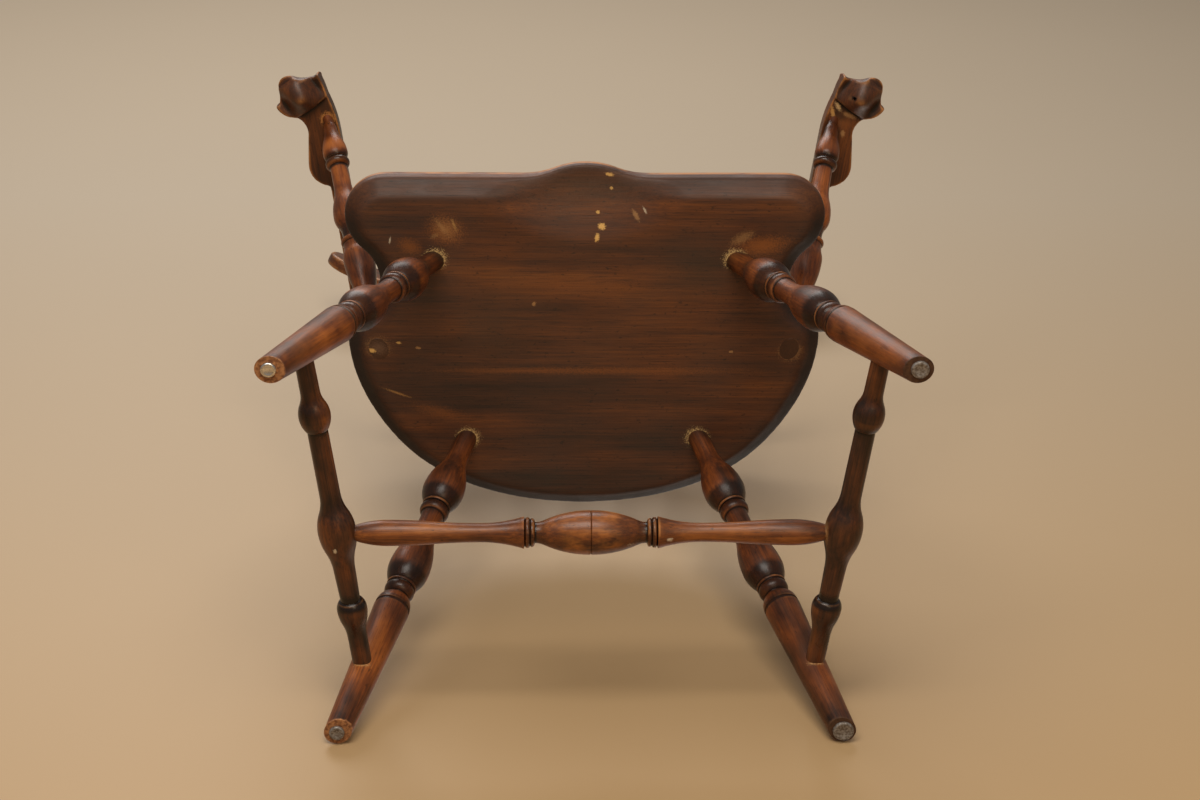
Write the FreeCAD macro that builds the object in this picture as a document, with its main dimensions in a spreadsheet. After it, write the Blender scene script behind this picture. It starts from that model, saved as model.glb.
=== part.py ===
import FreeCAD, Part
import os
from math import atan2, cos, radians, sin, sqrt

import Sketcher
from FreeCAD import Placement, Rotation, Vector

# A comb back Windsor armchair, in millimetres.
# +Z is up, the chair faces -Y, and the floor is at Z = 0.
# Distances named "out" are sideways from the middle, "fwd" to the front and "back" to the rear.

SIZES = {
    # Seat plank
    "seat_underside": 405,
    "seat_thickness": 38,
    "seat_half_width": 255,
    "seat_front": 201,
    "seat_pommel": 213,
    "seat_pommel_half": 75,
    "seat_corner_radius": 44,
    "seat_notch_out": 219,
    "seat_notch_fwd": 80,
    "seat_hip_fwd": 18,
    "seat_hip_radius": 150,
    "seat_rear": 180,
    "seat_bevel_in": 18,
    "seat_bevel_up": 15,
    "seat_edge_round": 9,
    # Saddle on top and hollow under the pommel, each cut by an ellipsoid
    "saddle_depth": 14,
    "saddle_height": 70,
    "saddle_out": 330,
    "saddle_deep": 240,
    "saddle_fwd": 42,
    "hollow_depth": 17,
    "hollow_height": 60,
    "hollow_out": 150,
    "hollow_deep": 100,
    # Legs
    "leg_front_top_out": 162,
    "leg_front_top_fwd": 111,
    "leg_front_foot_out": 298,
    "leg_front_foot_fwd": 174,
    "leg_rear_top_out": 129,
    "leg_rear_top_back": 92,
    "leg_rear_foot_out": 248,
    "leg_rear_foot_back": 218,
    "leg_neck_dia": 23.5,
    "leg_foot_dia": 25.5,
    "leg_trim": 12,
    "glide_thickness": 3,
    "glide_dia": 17,
    "glide_nail_dia": 3,
    "glide_nail_length": 16,
    # Stretchers
    "stretcher_front_height": 73,
    "stretcher_rear_height": 79,
    "stretcher_end_dia": 15.5,
    "stretcher_past_axis": 4,
    "centre_joint_share": 0.548,
    "centre_short_of_axis": 6,
    "centre_end_dia": 15.5,
    # Arm posts
    "post_seat_out": 219,
    "post_seat_fwd": 9,
    "post_top_out": 287,
    "post_top_fwd": 178,
    "post_tenon_dia": 12,
    "post_shoulder_gap": 0.63,
    "post_drawn_past": 5,
    "post_drawn_run": 262.3,
    "post_foot_dia": 20,
    "post_trim": 14,
    # Arm bow
    "bow_underside": 655,
    "bow_height": 20,
    "bow_width": 22,
    "bow_slant": 8,
    "bow_straight_back": 60,
    "bow_corner_radius": 100,
    "bow_rear": 178,
    "bow_edge_round": 4,
    # Knuckle blocks and their brads
    "knuckle_height": 24,
    "brad_dia": 2,
    "brad_hole_dia": 3.4,
    "brad_sunk": 3,
    "brad_bite": 11,
    # Spindles
    "spindle_foot_dia": 11,
    "spindle_swell_dia": 15,
    "spindle_swell_at": 95,
    "spindle_bow_dia": 11,
    "spindle_top_dia": 9.5,
    "spindle_seat_depth": 22,
    "spindle_comb_depth": 18,
    "spindle_bow_pitch": 62.5,
    "spindle_comb_pitch": 88,
    "short_1_seat_out": 186,
    "short_1_seat_back": 72,
    "short_2_seat_out": 216,
    "short_2_seat_back": 22,
    "short_pitch": 71,
    "short_top_dia": 10,
    "short_swell_share": 0.42,
    "short_bow_depth": 13,
    # Comb
    "comb_bottom": 1045,
    "comb_back": 248,
    "comb_lean": 10,
    "comb_bend_radius": 720,
    "comb_thickness": 17,
    "comb_half_length": 332,
    "comb_middle_height": 80,
    "comb_dip_height": 54,
    "comb_dip_out": 196,
    "comb_ear_height": 72,
    "comb_ear_out": 311,
    "comb_ear_round": 21,
    "comb_heel_height": 25,
    "comb_toe_out": 236,
    "comb_pin_dia": 4,
    "pin_mouth": 0.8,
    "comb_pin_length": 14,
    # Wedges, sockets and the gaps left for glue
    "wedge_thickness": 2.6,
    "wedge_point": 1,
    "wedge_depth": 24,
    "wedge_share": 0.9,
    "wedge_trim": 4,
    "socket_mouth": 30,
    "clearance": 0.15,
    "glue_line": 0.1,
}

# Turned patterns: form, name, distance from the datum, diameter.
# An ogee is an S curve, a bead is a round ring whose diameter is its crest, a line runs straight,
# and "away" is an arc that starts level with the axis.
LEG_PATTERN = (
    ("ogee", "upper_vase", 86, 42),
    ("ogee", "upper_vase_foot", 109, 26),
    ("bead", "first_bead", 114, 29.5),
    ("bead", "second_bead", 119, 29.5),
    ("ogee", "waist", 136, 23),
    ("ogee", "lower_vase", 208, 41.5),
    ("ogee", "lower_vase_foot", 231, 26),
    ("bead", "disc", 240, 32),
    ("ogee", "reel", 249, 20.5),
    ("ogee", "collar", 263, 36),
    ("line", "score_top", 266, 36.6),
    ("line", "score", 267, 34.6),
    ("line", "score_foot", 268, 36.8),
)
SIDE_PATTERN = (
    ("line", "end", 22, 15.5),
    ("ogee", "vase", 67, 32),
    ("away", "vase_lip", 81, 25),
    ("line", "shoulder", 82, 20.5),
    ("line", "shaft", 112, 20.5),
)
CENTRE_PATTERN = (
    ("line", "end", 20, 15.5),
    ("ogee", "swell", 48, 25.5),
    ("ogee", "slim", 139, 18.5),
    ("away", "rim", 181, 31.5),
    ("line", "rim_step", 182, 25.5),
    ("bead", "first_bead", 187, 30),
    ("bead", "second_bead", 191, 28),
    ("line", "neck_step", 192, 20),
    ("line", "neck", 199, 19.5),
)
POST_PATTERN = (
    ("line", "neck", 10, 15),
    ("ogee", "tulip", 48, 26),
    ("away", "tulip_foot", 56, 22),
    ("bead", "collar", 65, 27),
    ("line", "collar_step", 66, 20.5),
    ("line", "shaft", 90, 21),
    ("ogee", "vase", 134, 35),
    ("ogee", "waist", 160, 25.5),
    ("bead", "first_bead", 165.5, 30.6),
    ("bead", "second_bead", 171, 30.6),
    ("ogee", "lower_vase", 190, 33),
    ("ogee", "foot", 256, 20),
)
PATTERNS = {
    "leg": LEG_PATTERN,
    "side": SIDE_PATTERN,
    "centre": CENTRE_PATTERN,
    "post": POST_PATTERN,
}
SIZES.update({"side_swell_dia": 36, "centre_bulb_dia": 43.5, "centre_score": 0.8})

# Outline of a hand hold seen from above: distance out from the bow's middle, and forward of the post.
# The last pair of a row is a point that the arc to that corner passes through.
INNER_HEEL_VIA = (-9.3, 6)
INNER_EAR_VIA = (-1.5, 43)
HAND_OUTLINE = (
    ("bow_rear", 11, -79, None),
    ("bulge", 31.5, -50, (25, -71)),
    ("neck", 25, -13, (28.5, -32)),
    ("heel", 34.5, 6, (27.5, -1.5)),
    ("outer_ear", 54, 20, (46, 10)),
    ("outer_flute", 46.5, 36, (46.8, 28)),
    ("lobe", 29, 53, (41.5, 49.5)),
    ("inner_flute", 16, 49, (22.5, 50.5)),
    ("inner_ear", 3, 55, (8.5, 50.5)),
    ("inner_heel", -4, 29, INNER_EAR_VIA),
)
for corner_name, corner_out, corner_fwd, _ in HAND_OUTLINE:
    SIZES["hand_%s_out" % corner_name] = corner_out
    SIZES["hand_%s_fwd" % corner_name] = corner_fwd
SIZES.update({"hand_strip_fwd": -20, "hand_front_fwd": 50, "brad_out": 17, "brad_fwd": 34})
for pattern_name, pattern in PATTERNS.items():
    for _, station, distance, diameter in pattern:
        SIZES["%s_%s_at" % (pattern_name, station)] = distance
        SIZES["%s_%s_dia" % (pattern_name, station)] = diameter

BACK_SPINDLES = 7
PINNED_SPINDLES = (1, 4, 7)
COMB_SPARE = 1.05
SIDES = (("left", -1), ("right", 1))

doc = FreeCAD.newDocument("comb_back_windsor")
sheet = doc.addObject("Spreadsheet::Sheet", "Sizes")
for row, (alias, number) in enumerate(SIZES.items(), 1):
    sheet.set("A%d" % row, alias)
    sheet.set("B%d" % row, str(number))
    sheet.setAlias("B%d" % row, alias)
doc.recompute()


class Size:
    """A number together with the sheet expression that it comes from."""

    def __init__(self, text, value):
        self.text = text
        self.value = float(value)

    def joined(self, sign, other, value):
        return Size("(%s %s %s)" % (self.text, sign, as_size(other).text), value)

    def __add__(self, other):
        return self.joined("+", other, self.value + as_size(other).value)

    def __sub__(self, other):
        return self.joined("-", other, self.value - as_size(other).value)

    def __mul__(self, other):
        return self.joined("*", other, self.value * as_size(other).value)

    def __truediv__(self, other):
        return self.joined("/", other, self.value / as_size(other).value)

    def __neg__(self):
        return Size("(-1 * %s)" % self.text, -self.value)


def as_size(number):
    if isinstance(number, Size):
        return number
    return Size("(%.9f)" % number, number)


def size(alias):
    return Size("Sizes.%s" % alias, getattr(sheet, alias))


def mm(alias):
    return float(getattr(sheet, alias))


# Drawing closed outlines in a sketch

class Outline:
    """A closed run of lines and arcs whose corners are tied to sizes."""

    def __init__(self, sketch, x, y):
        self.sketch = sketch
        self.first = None
        self.end = None
        self.start = (as_size(x), as_size(y))
        self.x, self.y = self.start

    def bind(self, constraint, target):
        index = self.sketch.addConstraint(constraint)
        if "Sizes." in target.text:
            self.sketch.setExpression("Constraints[%d]" % index, target.text)

    def tie_along(self, kind, axis, geo, pos, target):
        if abs(target.value) < 1e-9:
            self.sketch.addConstraint(Sketcher.Constraint("PointOnObject", geo, pos, axis))
        elif target.value > 0:
            self.bind(Sketcher.Constraint(kind, -1, 1, geo, pos, target.value), target)
        else:
            flipped = -target
            self.bind(Sketcher.Constraint(kind, geo, pos, -1, 1, flipped.value), flipped)

    def tie(self, geo, pos, x, y):
        self.tie_along("DistanceX", -2, geo, pos, x)
        self.tie_along("DistanceY", -1, geo, pos, y)

    def chain(self, geo, start_pos, end_pos, x, y, closing=False):
        if self.end is None:
            self.first = (geo, start_pos)
            self.tie(geo, start_pos, self.x, self.y)
        else:
            self.sketch.addConstraint(Sketcher.Constraint("Coincident", *self.end, geo, start_pos))
        if closing:
            self.sketch.addConstraint(Sketcher.Constraint("Coincident", geo, end_pos, *self.first))
        else:
            self.tie(geo, end_pos, x, y)
        self.end = (geo, end_pos)
        self.x, self.y = x, y

    def line(self, x, y, closing=False):
        x, y = as_size(x), as_size(y)
        corner = Vector(self.x.value, self.y.value, 0)
        geo = self.sketch.addGeometry(Part.LineSegment(corner, Vector(x.value, y.value, 0)), False)
        self.chain(geo, 1, 2, x, y, closing)

    def close(self):
        self.line(*self.start, closing=True)

    def arc_about(self, centre, x, y):
        """An arc round a centre, the short way; returns it with its start and centre marks."""
        here = Vector(self.x.value, self.y.value, 0) - centre
        there = Vector(x.value, y.value, 0) - centre
        turns_left = here.cross(there).z > 0
        first, last = (here, there) if turns_left else (there, here)
        circle = Part.Circle(centre, Vector(0, 0, 1), here.Length)
        arc = Part.ArcOfCircle(circle, atan2(first.y, first.x), atan2(last.y, last.x))
        geo = self.sketch.addGeometry(arc, False)
        start_pos, end_pos = (1, 2) if turns_left else (2, 1)
        self.chain(geo, start_pos, end_pos, x, y)
        return geo, start_pos, end_pos

    def level(self, along, geo, pos):
        """Keep an arc's centre square to one end, so that the arc leaves there along an axis."""
        kind = "Horizontal" if along == "y" else "Vertical"
        self.sketch.addConstraint(Sketcher.Constraint(kind, geo, 3, geo, pos))

    def tangent_arc(self, x, y, along, at_start):
        """An arc that runs along an axis at its start or at its end."""
        x, y = as_size(x), as_size(y)
        across = x.value - self.x.value
        run = y.value - self.y.value
        if along == "x":
            across, run = run, across
        if abs(across) < 1e-9:
            self.line(x, y)
            return
        radius = (across ** 2 + run ** 2) / (2 * abs(across))
        toward = radius if across > 0 else -radius
        base = (self.x.value, self.y.value) if at_start else (x.value, y.value)
        shift = toward if at_start else -toward
        offset = Vector(shift, 0, 0) if along == "y" else Vector(0, shift, 0)
        geo, start_pos, end_pos = self.arc_about(Vector(*base, 0) + offset, x, y)
        self.level(along, geo, start_pos if at_start else end_pos)

    def ogee(self, x, y, along="y"):
        """An S curve of two equal arcs that runs along an axis at both ends."""
        x, y = as_size(x), as_size(y)
        middle_x = (self.x + x) / 2
        middle_y = (self.y + y) / 2
        self.tangent_arc(middle_x, middle_y, along, True)
        self.tangent_arc(x, y, along, False)

    def curve(self, x, y, radius, bulge):
        """An arc of a given radius, bulging to the left (+1) or right (-1) of the way it runs."""
        x, y, radius = as_size(x), as_size(y), as_size(radius)
        chord = Vector(x.value - self.x.value, y.value - self.y.value, 0)
        depth = sqrt(radius.value ** 2 - chord.Length ** 2 / 4)
        side = Vector(chord.y, -chord.x, 0).normalize() * bulge
        centre = Vector(self.x.value, self.y.value, 0) + chord / 2 + side * depth
        geo, _, _ = self.arc_about(centre, x, y)
        self.bind(Sketcher.Constraint("Radius", geo, radius.value), radius)

    def through(self, x, y, via_x, via_y):
        """An arc through a middle point."""
        x, y = as_size(x), as_size(y)
        here = Vector(self.x.value, self.y.value, 0)
        there = Vector(x.value, y.value, 0)
        via = Vector(via_x, via_y, 0)
        half = (there - here).Length / 2
        rise = (via - (here + there) / 2).Length
        bulge = 1 if (there - here).cross(via - here).z > 0 else -1
        self.curve(x, y, (half ** 2 + rise ** 2) / (2 * rise), bulge)


def new_body(name):
    return doc.addObject("PartDesign::Body", name)


def new_sketch(body, plane):
    sketch = body.newObject("Sketcher::SketchObject", body.Name + "_outline")
    support = [f for f in body.Origin.OriginFeatures if f.Role == plane][0]
    sketch.AttachmentSupport = [(support, "")]
    sketch.MapMode = "FlatFace"
    return sketch


def pad(body, sketch, length, both_ways=False):
    feature = body.newObject("PartDesign::Pad", body.Name + "_pad")
    feature.Profile = sketch
    feature.Midplane = both_ways
    feature.setExpression("Length", length.text)
    doc.recompute()
    return feature


def edges_at(feature, height):
    """Names of a feature's edges that lie flat at one height."""
    names = []
    for number, edge in enumerate(feature.Shape.Edges, 1):
        box = edge.BoundBox
        if abs(box.ZMin - height) < 1e-4 and abs(box.ZMax - height) < 1e-4:
            names.append("Edge%d" % number)
    return names


def rounded(body, feature, names, radius):
    fillet = body.newObject("PartDesign::Fillet", body.Name + "_round")
    fillet.Base = (feature, names)
    fillet.setExpression("Radius", radius.text)
    doc.recompute()
    return fillet


def turned(name, first_at, first_dia, stations):
    """A lathe-turned piece along its own Z axis, from a list of stations."""
    body = new_body(name)
    sketch = new_sketch(body, "XZ_Plane")
    profile = Outline(sketch, 0, first_at)
    profile.line(first_dia / 2, first_at)
    for form, at, diameter in stations:
        radius = diameter / 2
        if form == "ogee":
            profile.ogee(radius, at)
        elif form in ("away", "into"):
            profile.tangent_arc(radius, at, "y", form == "away")
        elif form == "bead":
            half = (at - profile.y) / 2
            rise = radius - profile.x
            profile.curve(profile.x, at, (half * half + rise * rise) / (rise * 2), -1)
        else:
            profile.line(radius, at)
    profile.line(0, profile.y)
    profile.close()
    lathe = body.newObject("PartDesign::Revolution", name + "_turning")
    lathe.Profile = sketch
    lathe.ReferenceAxis = (sketch, ["V_Axis"])
    lathe.Angle = 360
    return body


def stations_of(pattern_name):
    """The stations of a pattern, bound to the sheet."""
    rows = []
    for form, station, _, _ in PATTERNS[pattern_name]:
        prefix = "%s_%s" % (pattern_name, station)
        rows.append((form, size(prefix + "_at"), size(prefix + "_dia")))
    return rows


def mirrored(stations, length):
    """The same stations met from the far end, for a piece with two like halves."""
    ends = []
    for form, at, diameter in stations:
        ends.append(ends[-1] if form == "bead" else diameter)
    rows = []
    for index in range(len(stations) - 1, 0, -1):
        form, _, diameter = stations[index]
        form = {"away": "into", "into": "away"}.get(form, form)
        target = diameter if form == "bead" else ends[index - 1]
        rows.append((form, length - stations[index - 1][1], target))
    return rows


def aim(thing, start, toward):
    """Stand a piece at a point with its own Z axis along a direction."""
    thing.Placement = Placement(start, Rotation(Vector(0, 0, 1), toward))
    return thing


def rod(name, start, toward, diameter, length):
    piece = doc.addObject("Part::Cylinder", name)
    piece.setExpression("Radius", (as_size(diameter) / 2).text)
    piece.setExpression("Height", as_size(length).text)
    return aim(piece, start, toward)


def drill(name, start, toward, diameter, length):
    """A round tool that cuts a socket, wider than the tenon by the clearance all round."""
    return rod(name, start, toward, diameter + size("clearance") * 2, length)


def group(name, pieces):
    compound = doc.addObject("Part::Compound", name)
    compound.Links = pieces
    return compound


def cut(name, base, *tools):
    """A piece with its tools cut away one after another."""
    for number, tool in enumerate(tools, 1):
        result = doc.addObject("Part::Cut", "%s_cut_%d" % (name, number))
        result.Base = base
        result.Tool = tool
        base = result
    return base


def block(name, low, high):
    """A large block that trims pieces flush at a level."""
    reach = 1000
    piece = doc.addObject("Part::Box", name)
    piece.Length = 2 * reach
    piece.Width = 2 * reach
    piece.Height = high - low
    piece.Placement.Base = Vector(-reach, -reach, low)
    return piece


def wedge(name, start, along, across, tenon_dia, gap):
    """A tapered slip of wood along a tenon's axis, thick at its outer end and set across the grain."""
    slip = doc.addObject("Part::Wedge", name)
    thick = size("wedge_thickness") / 2 + gap
    thin = size("wedge_point") / 2 + gap
    half = tenon_dia * size("wedge_share") / 2 + gap
    for side, sign in (("min", -1), ("max", 1)):
        slip.setExpression("X" + side, (thick * sign).text)
        slip.setExpression("X2" + side, (thin * sign).text)
        slip.setExpression("Z" + side, (half * sign).text)
        slip.setExpression("Z2" + side, (half * sign).text)
    slip.Ymin = 0
    slip.setExpression("Ymax", (size("wedge_depth") + gap).text)
    slip.Placement = Placement(start, Rotation(across, along, across.cross(along), "YXZ"))
    return slip


parts = []


def keep(label, thing):
    thing.Label = label
    parts.append(thing)
    return thing


# Levels and trimming tools

SKY = 1600
seat_low = mm("seat_underside")
seat_top = seat_low + mm("seat_thickness")
bow_low = mm("bow_underside")
bow_top = bow_low + mm("bow_height")
clear = mm("clearance")
up = Vector(0, 0, 1)


def ellipsoid(name, middle):
    shape = doc.addObject("Part::Ellipsoid", name)
    shape.setExpression("Radius1", "Sizes.%s_height" % name)
    shape.setExpression("Radius2", "Sizes.%s_out" % name)
    shape.setExpression("Radius3", "Sizes.%s_deep" % name)
    shape.Placement.Base = middle
    return shape


saddle_bottom = seat_top - mm("saddle_depth")
saddle = ellipsoid("saddle", Vector(0, -mm("saddle_fwd"), saddle_bottom + mm("saddle_height")))
hollow_top = seat_low + mm("hollow_depth")
hollow = ellipsoid("hollow", Vector(0, -mm("seat_pommel"), hollow_top - mm("hollow_height")))
over_seat = block("over_seat", seat_top, SKY)
below_seat = block("below_seat", -SKY, seat_low)
above_bow = block("above_bow", bow_top, SKY)
below_foot = block("below_foot", -SKY, mm("glide_thickness"))


# Axes of the legs, stretchers, posts and spindles

LEGS = {}
for end, way, y_sign in (("front", "fwd", -1), ("rear", "back", 1)):
    for side, sign in SIDES:
        top = Vector(sign * mm("leg_%s_top_out" % end), y_sign * mm("leg_%s_top_%s" % (end, way)), seat_low)
        foot = Vector(sign * mm("leg_%s_foot_out" % end), y_sign * mm("leg_%s_foot_%s" % (end, way)), 0)
        LEGS[end, side] = (top, foot)

POSTS = {}
for side, sign in SIDES:
    top = Vector(sign * mm("post_top_out"), -mm("post_top_fwd"), bow_low)
    foot = Vector(sign * mm("post_seat_out"), -mm("post_seat_fwd"), seat_low)
    POSTS[side] = (top, foot)


def at_height(axis, height):
    top, foot = axis
    return foot + (top - foot) * ((height - foot.z) / (top.z - foot.z))


STRETCHERS = {}
for side, sign in SIDES:
    STRETCHERS[side] = (
        at_height(LEGS["front", side], mm("stretcher_front_height")),
        at_height(LEGS["rear", side], mm("stretcher_rear_height")))
CROSSING = {}
for side, (front, rear) in STRETCHERS.items():
    CROSSING[side] = front + (rear - front) * mm("centre_joint_share")


def arch(side_x, side_y, side_cos, side_sin, corner_radius, apex):
    """Rear radius of a three-centred arch, and the direction from its centre to where the arcs meet."""
    corner_x = side_x - corner_radius * side_cos
    corner_y = side_y - corner_radius * side_sin
    fall = corner_y - apex
    rise = corner_radius * corner_radius - corner_x * corner_x - fall * fall
    rear_radius = rise / ((fall + corner_radius) * 2)
    reach = rear_radius - corner_radius
    return rear_radius, corner_x / reach, (fall + rear_radius) / reach


slant_cos = Size("cos(Sizes.bow_slant)", cos(radians(mm("bow_slant"))))
slant_sin = Size("sin(Sizes.bow_slant)", sin(radians(mm("bow_slant"))))
bow_run = size("post_top_fwd") + size("bow_straight_back")
bow_turn_x = size("post_top_out") - bow_run * slant_sin / slant_cos
bow_turn_y = size("bow_straight_back")
bow_radius, bow_meet_x, bow_meet_y = arch(
    bow_turn_x, bow_turn_y, slant_cos, slant_sin, size("bow_corner_radius"), size("bow_rear"))


def bow_line(along):
    """A point on the bow's middle line, a distance along it from the middle of the back."""
    sign = 1 if along > 0 else -1
    rear = bow_radius.value
    corner = mm("bow_corner_radius")
    rear_turn = atan2(bow_meet_x.value, bow_meet_y.value)
    corner_turn = radians(90 - mm("bow_slant")) - rear_turn
    run = abs(along)
    if run <= rear * rear_turn:
        turn = run / rear
        return Vector(sign * rear * sin(turn), mm("bow_rear") - rear * (1 - cos(turn)), 0)
    run -= rear * rear_turn
    if run <= corner * corner_turn:
        turn = rear_turn + run / corner
        reach = rear - corner
        x = reach * sin(rear_turn) + corner * sin(turn)
        y = mm("bow_rear") - rear + reach * cos(rear_turn) + corner * cos(turn)
        return Vector(sign * x, y, 0)
    run -= corner * corner_turn
    x = bow_turn_x.value + run * slant_sin.value
    return Vector(sign * x, bow_turn_y.value - run * slant_cos.value, 0)


comb_place = Placement(
    Vector(0, mm("comb_back"), mm("comb_bottom")), Rotation(Vector(1, 0, 0), -mm("comb_lean")))


def comb_spot(along, raised, behind):
    """A point of the comb: along its bend, above its bottom edge and behind its middle line."""
    radius = mm("comb_bend_radius")
    turn = along / radius
    reach = radius + behind
    return comb_place.multVec(Vector(reach * sin(turn), reach * cos(turn) - radius, raised))


LONG = {}
bow_middle = (bow_low + bow_top) / 2
for number in range(1, BACK_SPINDLES + 1):
    step = number - (BACK_SPINDLES + 1) / 2
    bow_point = bow_line(step * mm("spindle_bow_pitch"))
    bow_point.z = bow_middle
    comb_point = comb_spot(step * mm("spindle_comb_pitch"), 0, 0)
    slope = (comb_point - bow_point) / (comb_point.z - bow_middle)
    seat_point = bow_point - slope * (bow_middle - seat_top)
    LONG[number] = (seat_point, bow_point, comb_point)

SHORT = {}
last_long = (BACK_SPINDLES - 1) / 2 * mm("spindle_bow_pitch")
for side, sign in SIDES:
    for number in (1, 2):
        out = mm("short_%d_seat_out" % number)
        seat_point = Vector(sign * out, mm("short_%d_seat_back" % number), seat_top)
        bow_point = bow_line(sign * (last_long + number * mm("short_pitch")))
        bow_point.z = bow_low
        SHORT[side, number] = (seat_point, bow_point)


def unit(start, end):
    return (end - start).normalize()


# Legs, with their wedges and floor glides

def stretcher_socket(name, joint, toward):
    """The hole in a leg for a side stretcher's end."""
    past = mm("stretcher_past_axis") + clear
    return drill(name, joint - toward * past, toward, size("stretcher_end_dia"), past + mm("socket_mouth"))


leg_sockets = []
leg_wedges = []
glides = []
for (end, side), (top, foot) in LEGS.items():
    name = "leg_%s_%s" % (end, side)
    down = unit(top, foot)
    length = (foot - top).Length
    overrun = size("seat_thickness") + size("leg_trim")
    stations = [("line", as_size(0), size("leg_neck_dia"))] + stations_of("leg")
    stations.append(("line", size("leg_trim") + length, size("leg_foot_dia")))
    blank = aim(turned(name + "_blank", -overrun, size("leg_neck_dia"), stations), top, down)
    # Sockets for the stretcher and the glide's nail
    front, rear = STRETCHERS[side]
    joint, other = (front, rear) if end == "front" else (rear, front)
    socket = stretcher_socket(name + "_socket", joint, unit(joint, other))
    nail_from = at_height((top, foot), mm("glide_thickness") / 2)
    nail_reach = size("glide_nail_length") + clear
    nail_hole = drill(name + "_nail_hole", nail_from, -down, size("glide_nail_dia"), nail_reach)
    # The wedge and its kerf, both trimmed with the leg's top
    kerf_from = at_height((top, foot), seat_top + mm("wedge_trim"))
    across = Vector(1, 0, 0)
    kerf = wedge(name + "_kerf", kerf_from, down, across, size("leg_neck_dia"), size("clearance"))
    slip = wedge(name + "_slip", kerf_from, down, across, size("leg_neck_dia"), as_size(0))
    leg_wedges.append(cut(name + "_slip", slip, over_seat, saddle))
    keep(name, cut(name, blank, over_seat, saddle, below_foot, socket, nail_hole, kerf))
    # The hole through the seat
    hole_from = top + down * mm("leg_trim")
    hole_length = overrun + size("leg_trim")
    leg_sockets.append(drill(name + "_hole", hole_from, -down, size("leg_neck_dia"), hole_length))
    # The glide: a flat button with a nail up the leg
    button = rod(name + "_button", foot, up, size("glide_dia"), size("glide_thickness"))
    nail = rod(name + "_nail", nail_from, -down, size("glide_nail_dia"), size("glide_nail_length"))
    glide = doc.addObject("Part::Fuse", name + "_glide")
    glide.Base = button
    glide.Tool = nail
    glides.append(glide)
keep("leg_wedges", group("leg_wedges", leg_wedges))
keep("foot_glides", group("foot_glides", glides))


# Stretchers

for side, (front, rear) in STRETCHERS.items():
    length = as_size((rear - front).Length)
    past = size("stretcher_past_axis")
    half = stations_of("side") + [("ogee", length / 2, size("side_swell_dia"))]
    stations = half + mirrored(half, length) + [("line", length + past, size("stretcher_end_dia"))]
    name = "side_stretcher_" + side
    blank = turned(name + "_blank", -past, size("stretcher_end_dia"), stations)
    blank = aim(blank, front, unit(front, rear))
    inward = Vector(-1 if side == "right" else 1, 0, 0)
    socket_from = CROSSING[side] + inward * (mm("centre_short_of_axis") - clear)
    socket = drill(name + "_socket", socket_from, inward, size("centre_end_dia"), size("socket_mouth"))
    keep(name, cut(name, blank, socket))

length = as_size((CROSSING["right"] - CROSSING["left"]).Length)
short_of = size("centre_short_of_axis")
score = size("centre_score")
bulb = size("centre_bulb_dia")
half = stations_of("centre") + [("ogee", length / 2 - score, bulb), ("line", length / 2, bulb - score * 2)]
stations = half + mirrored(half, length) + [("line", length - short_of, size("centre_end_dia"))]
centre = turned("centre_stretcher_blank", short_of, size("centre_end_dia"), stations)
keep("centre_stretcher", aim(centre, CROSSING["left"], Vector(1, 0, 0)))


# Arm posts, wedged through the bow and through the seat

post_holes = {}
post_sockets = []
post_wedges = []
for side, (top, foot) in POSTS.items():
    name = "arm_post_" + side
    down = unit(top, foot)
    length = (foot - top).Length
    slope = length / (top.z - foot.z)
    overrun = size("bow_height") * slope + size("post_trim")
    # The pattern is drawn for one length of post, and stretches with the room it has
    past = size("post_tenon_dia") / 2 * sqrt(slope * slope - 1) + size("post_shoulder_gap")
    room = as_size((at_height((top, foot), seat_top) - top).Length)
    stretch = (room - past) / (size("post_drawn_run") - size("post_drawn_past"))
    stations = [("line", past, size("post_tenon_dia"))]
    for form, at, diameter in stations_of("post"):
        stations.append((form, (at - size("post_drawn_past")) * stretch + past, diameter))
    stations.append(("line", size("post_trim") + length, size("post_foot_dia")))
    blank = aim(turned(name + "_blank", -overrun, size("post_tenon_dia"), stations), top, down)
    kerf_from = at_height((top, foot), bow_top + mm("wedge_trim"))
    across = Vector(0, 1, 0)
    kerf = wedge(name + "_kerf", kerf_from, down, across, size("post_tenon_dia"), size("clearance"))
    slip = wedge(name + "_slip", kerf_from, down, across, size("post_tenon_dia"), as_size(0))
    post_wedges.append(cut(name + "_slip", slip, above_bow))
    keep(name, cut(name, blank, above_bow, below_seat, kerf))
    hole_from = top + down * mm("post_trim")
    hole_length = overrun + size("post_trim")
    post_holes[side] = drill(name + "_bow_hole", hole_from, -down, size("post_tenon_dia"), hole_length)
    hole_from = foot + down * mm("post_trim")
    hole_length = size("seat_thickness") * 2 + size("post_trim")
    post_sockets.append(drill(name + "_seat_hole", hole_from, -down, size("post_foot_dia"), hole_length))
keep("arm_post_wedges", group("arm_post_wedges", post_wedges))


# Spindles: seven long ones through the bow to the comb, two short ones under each arm

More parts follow.
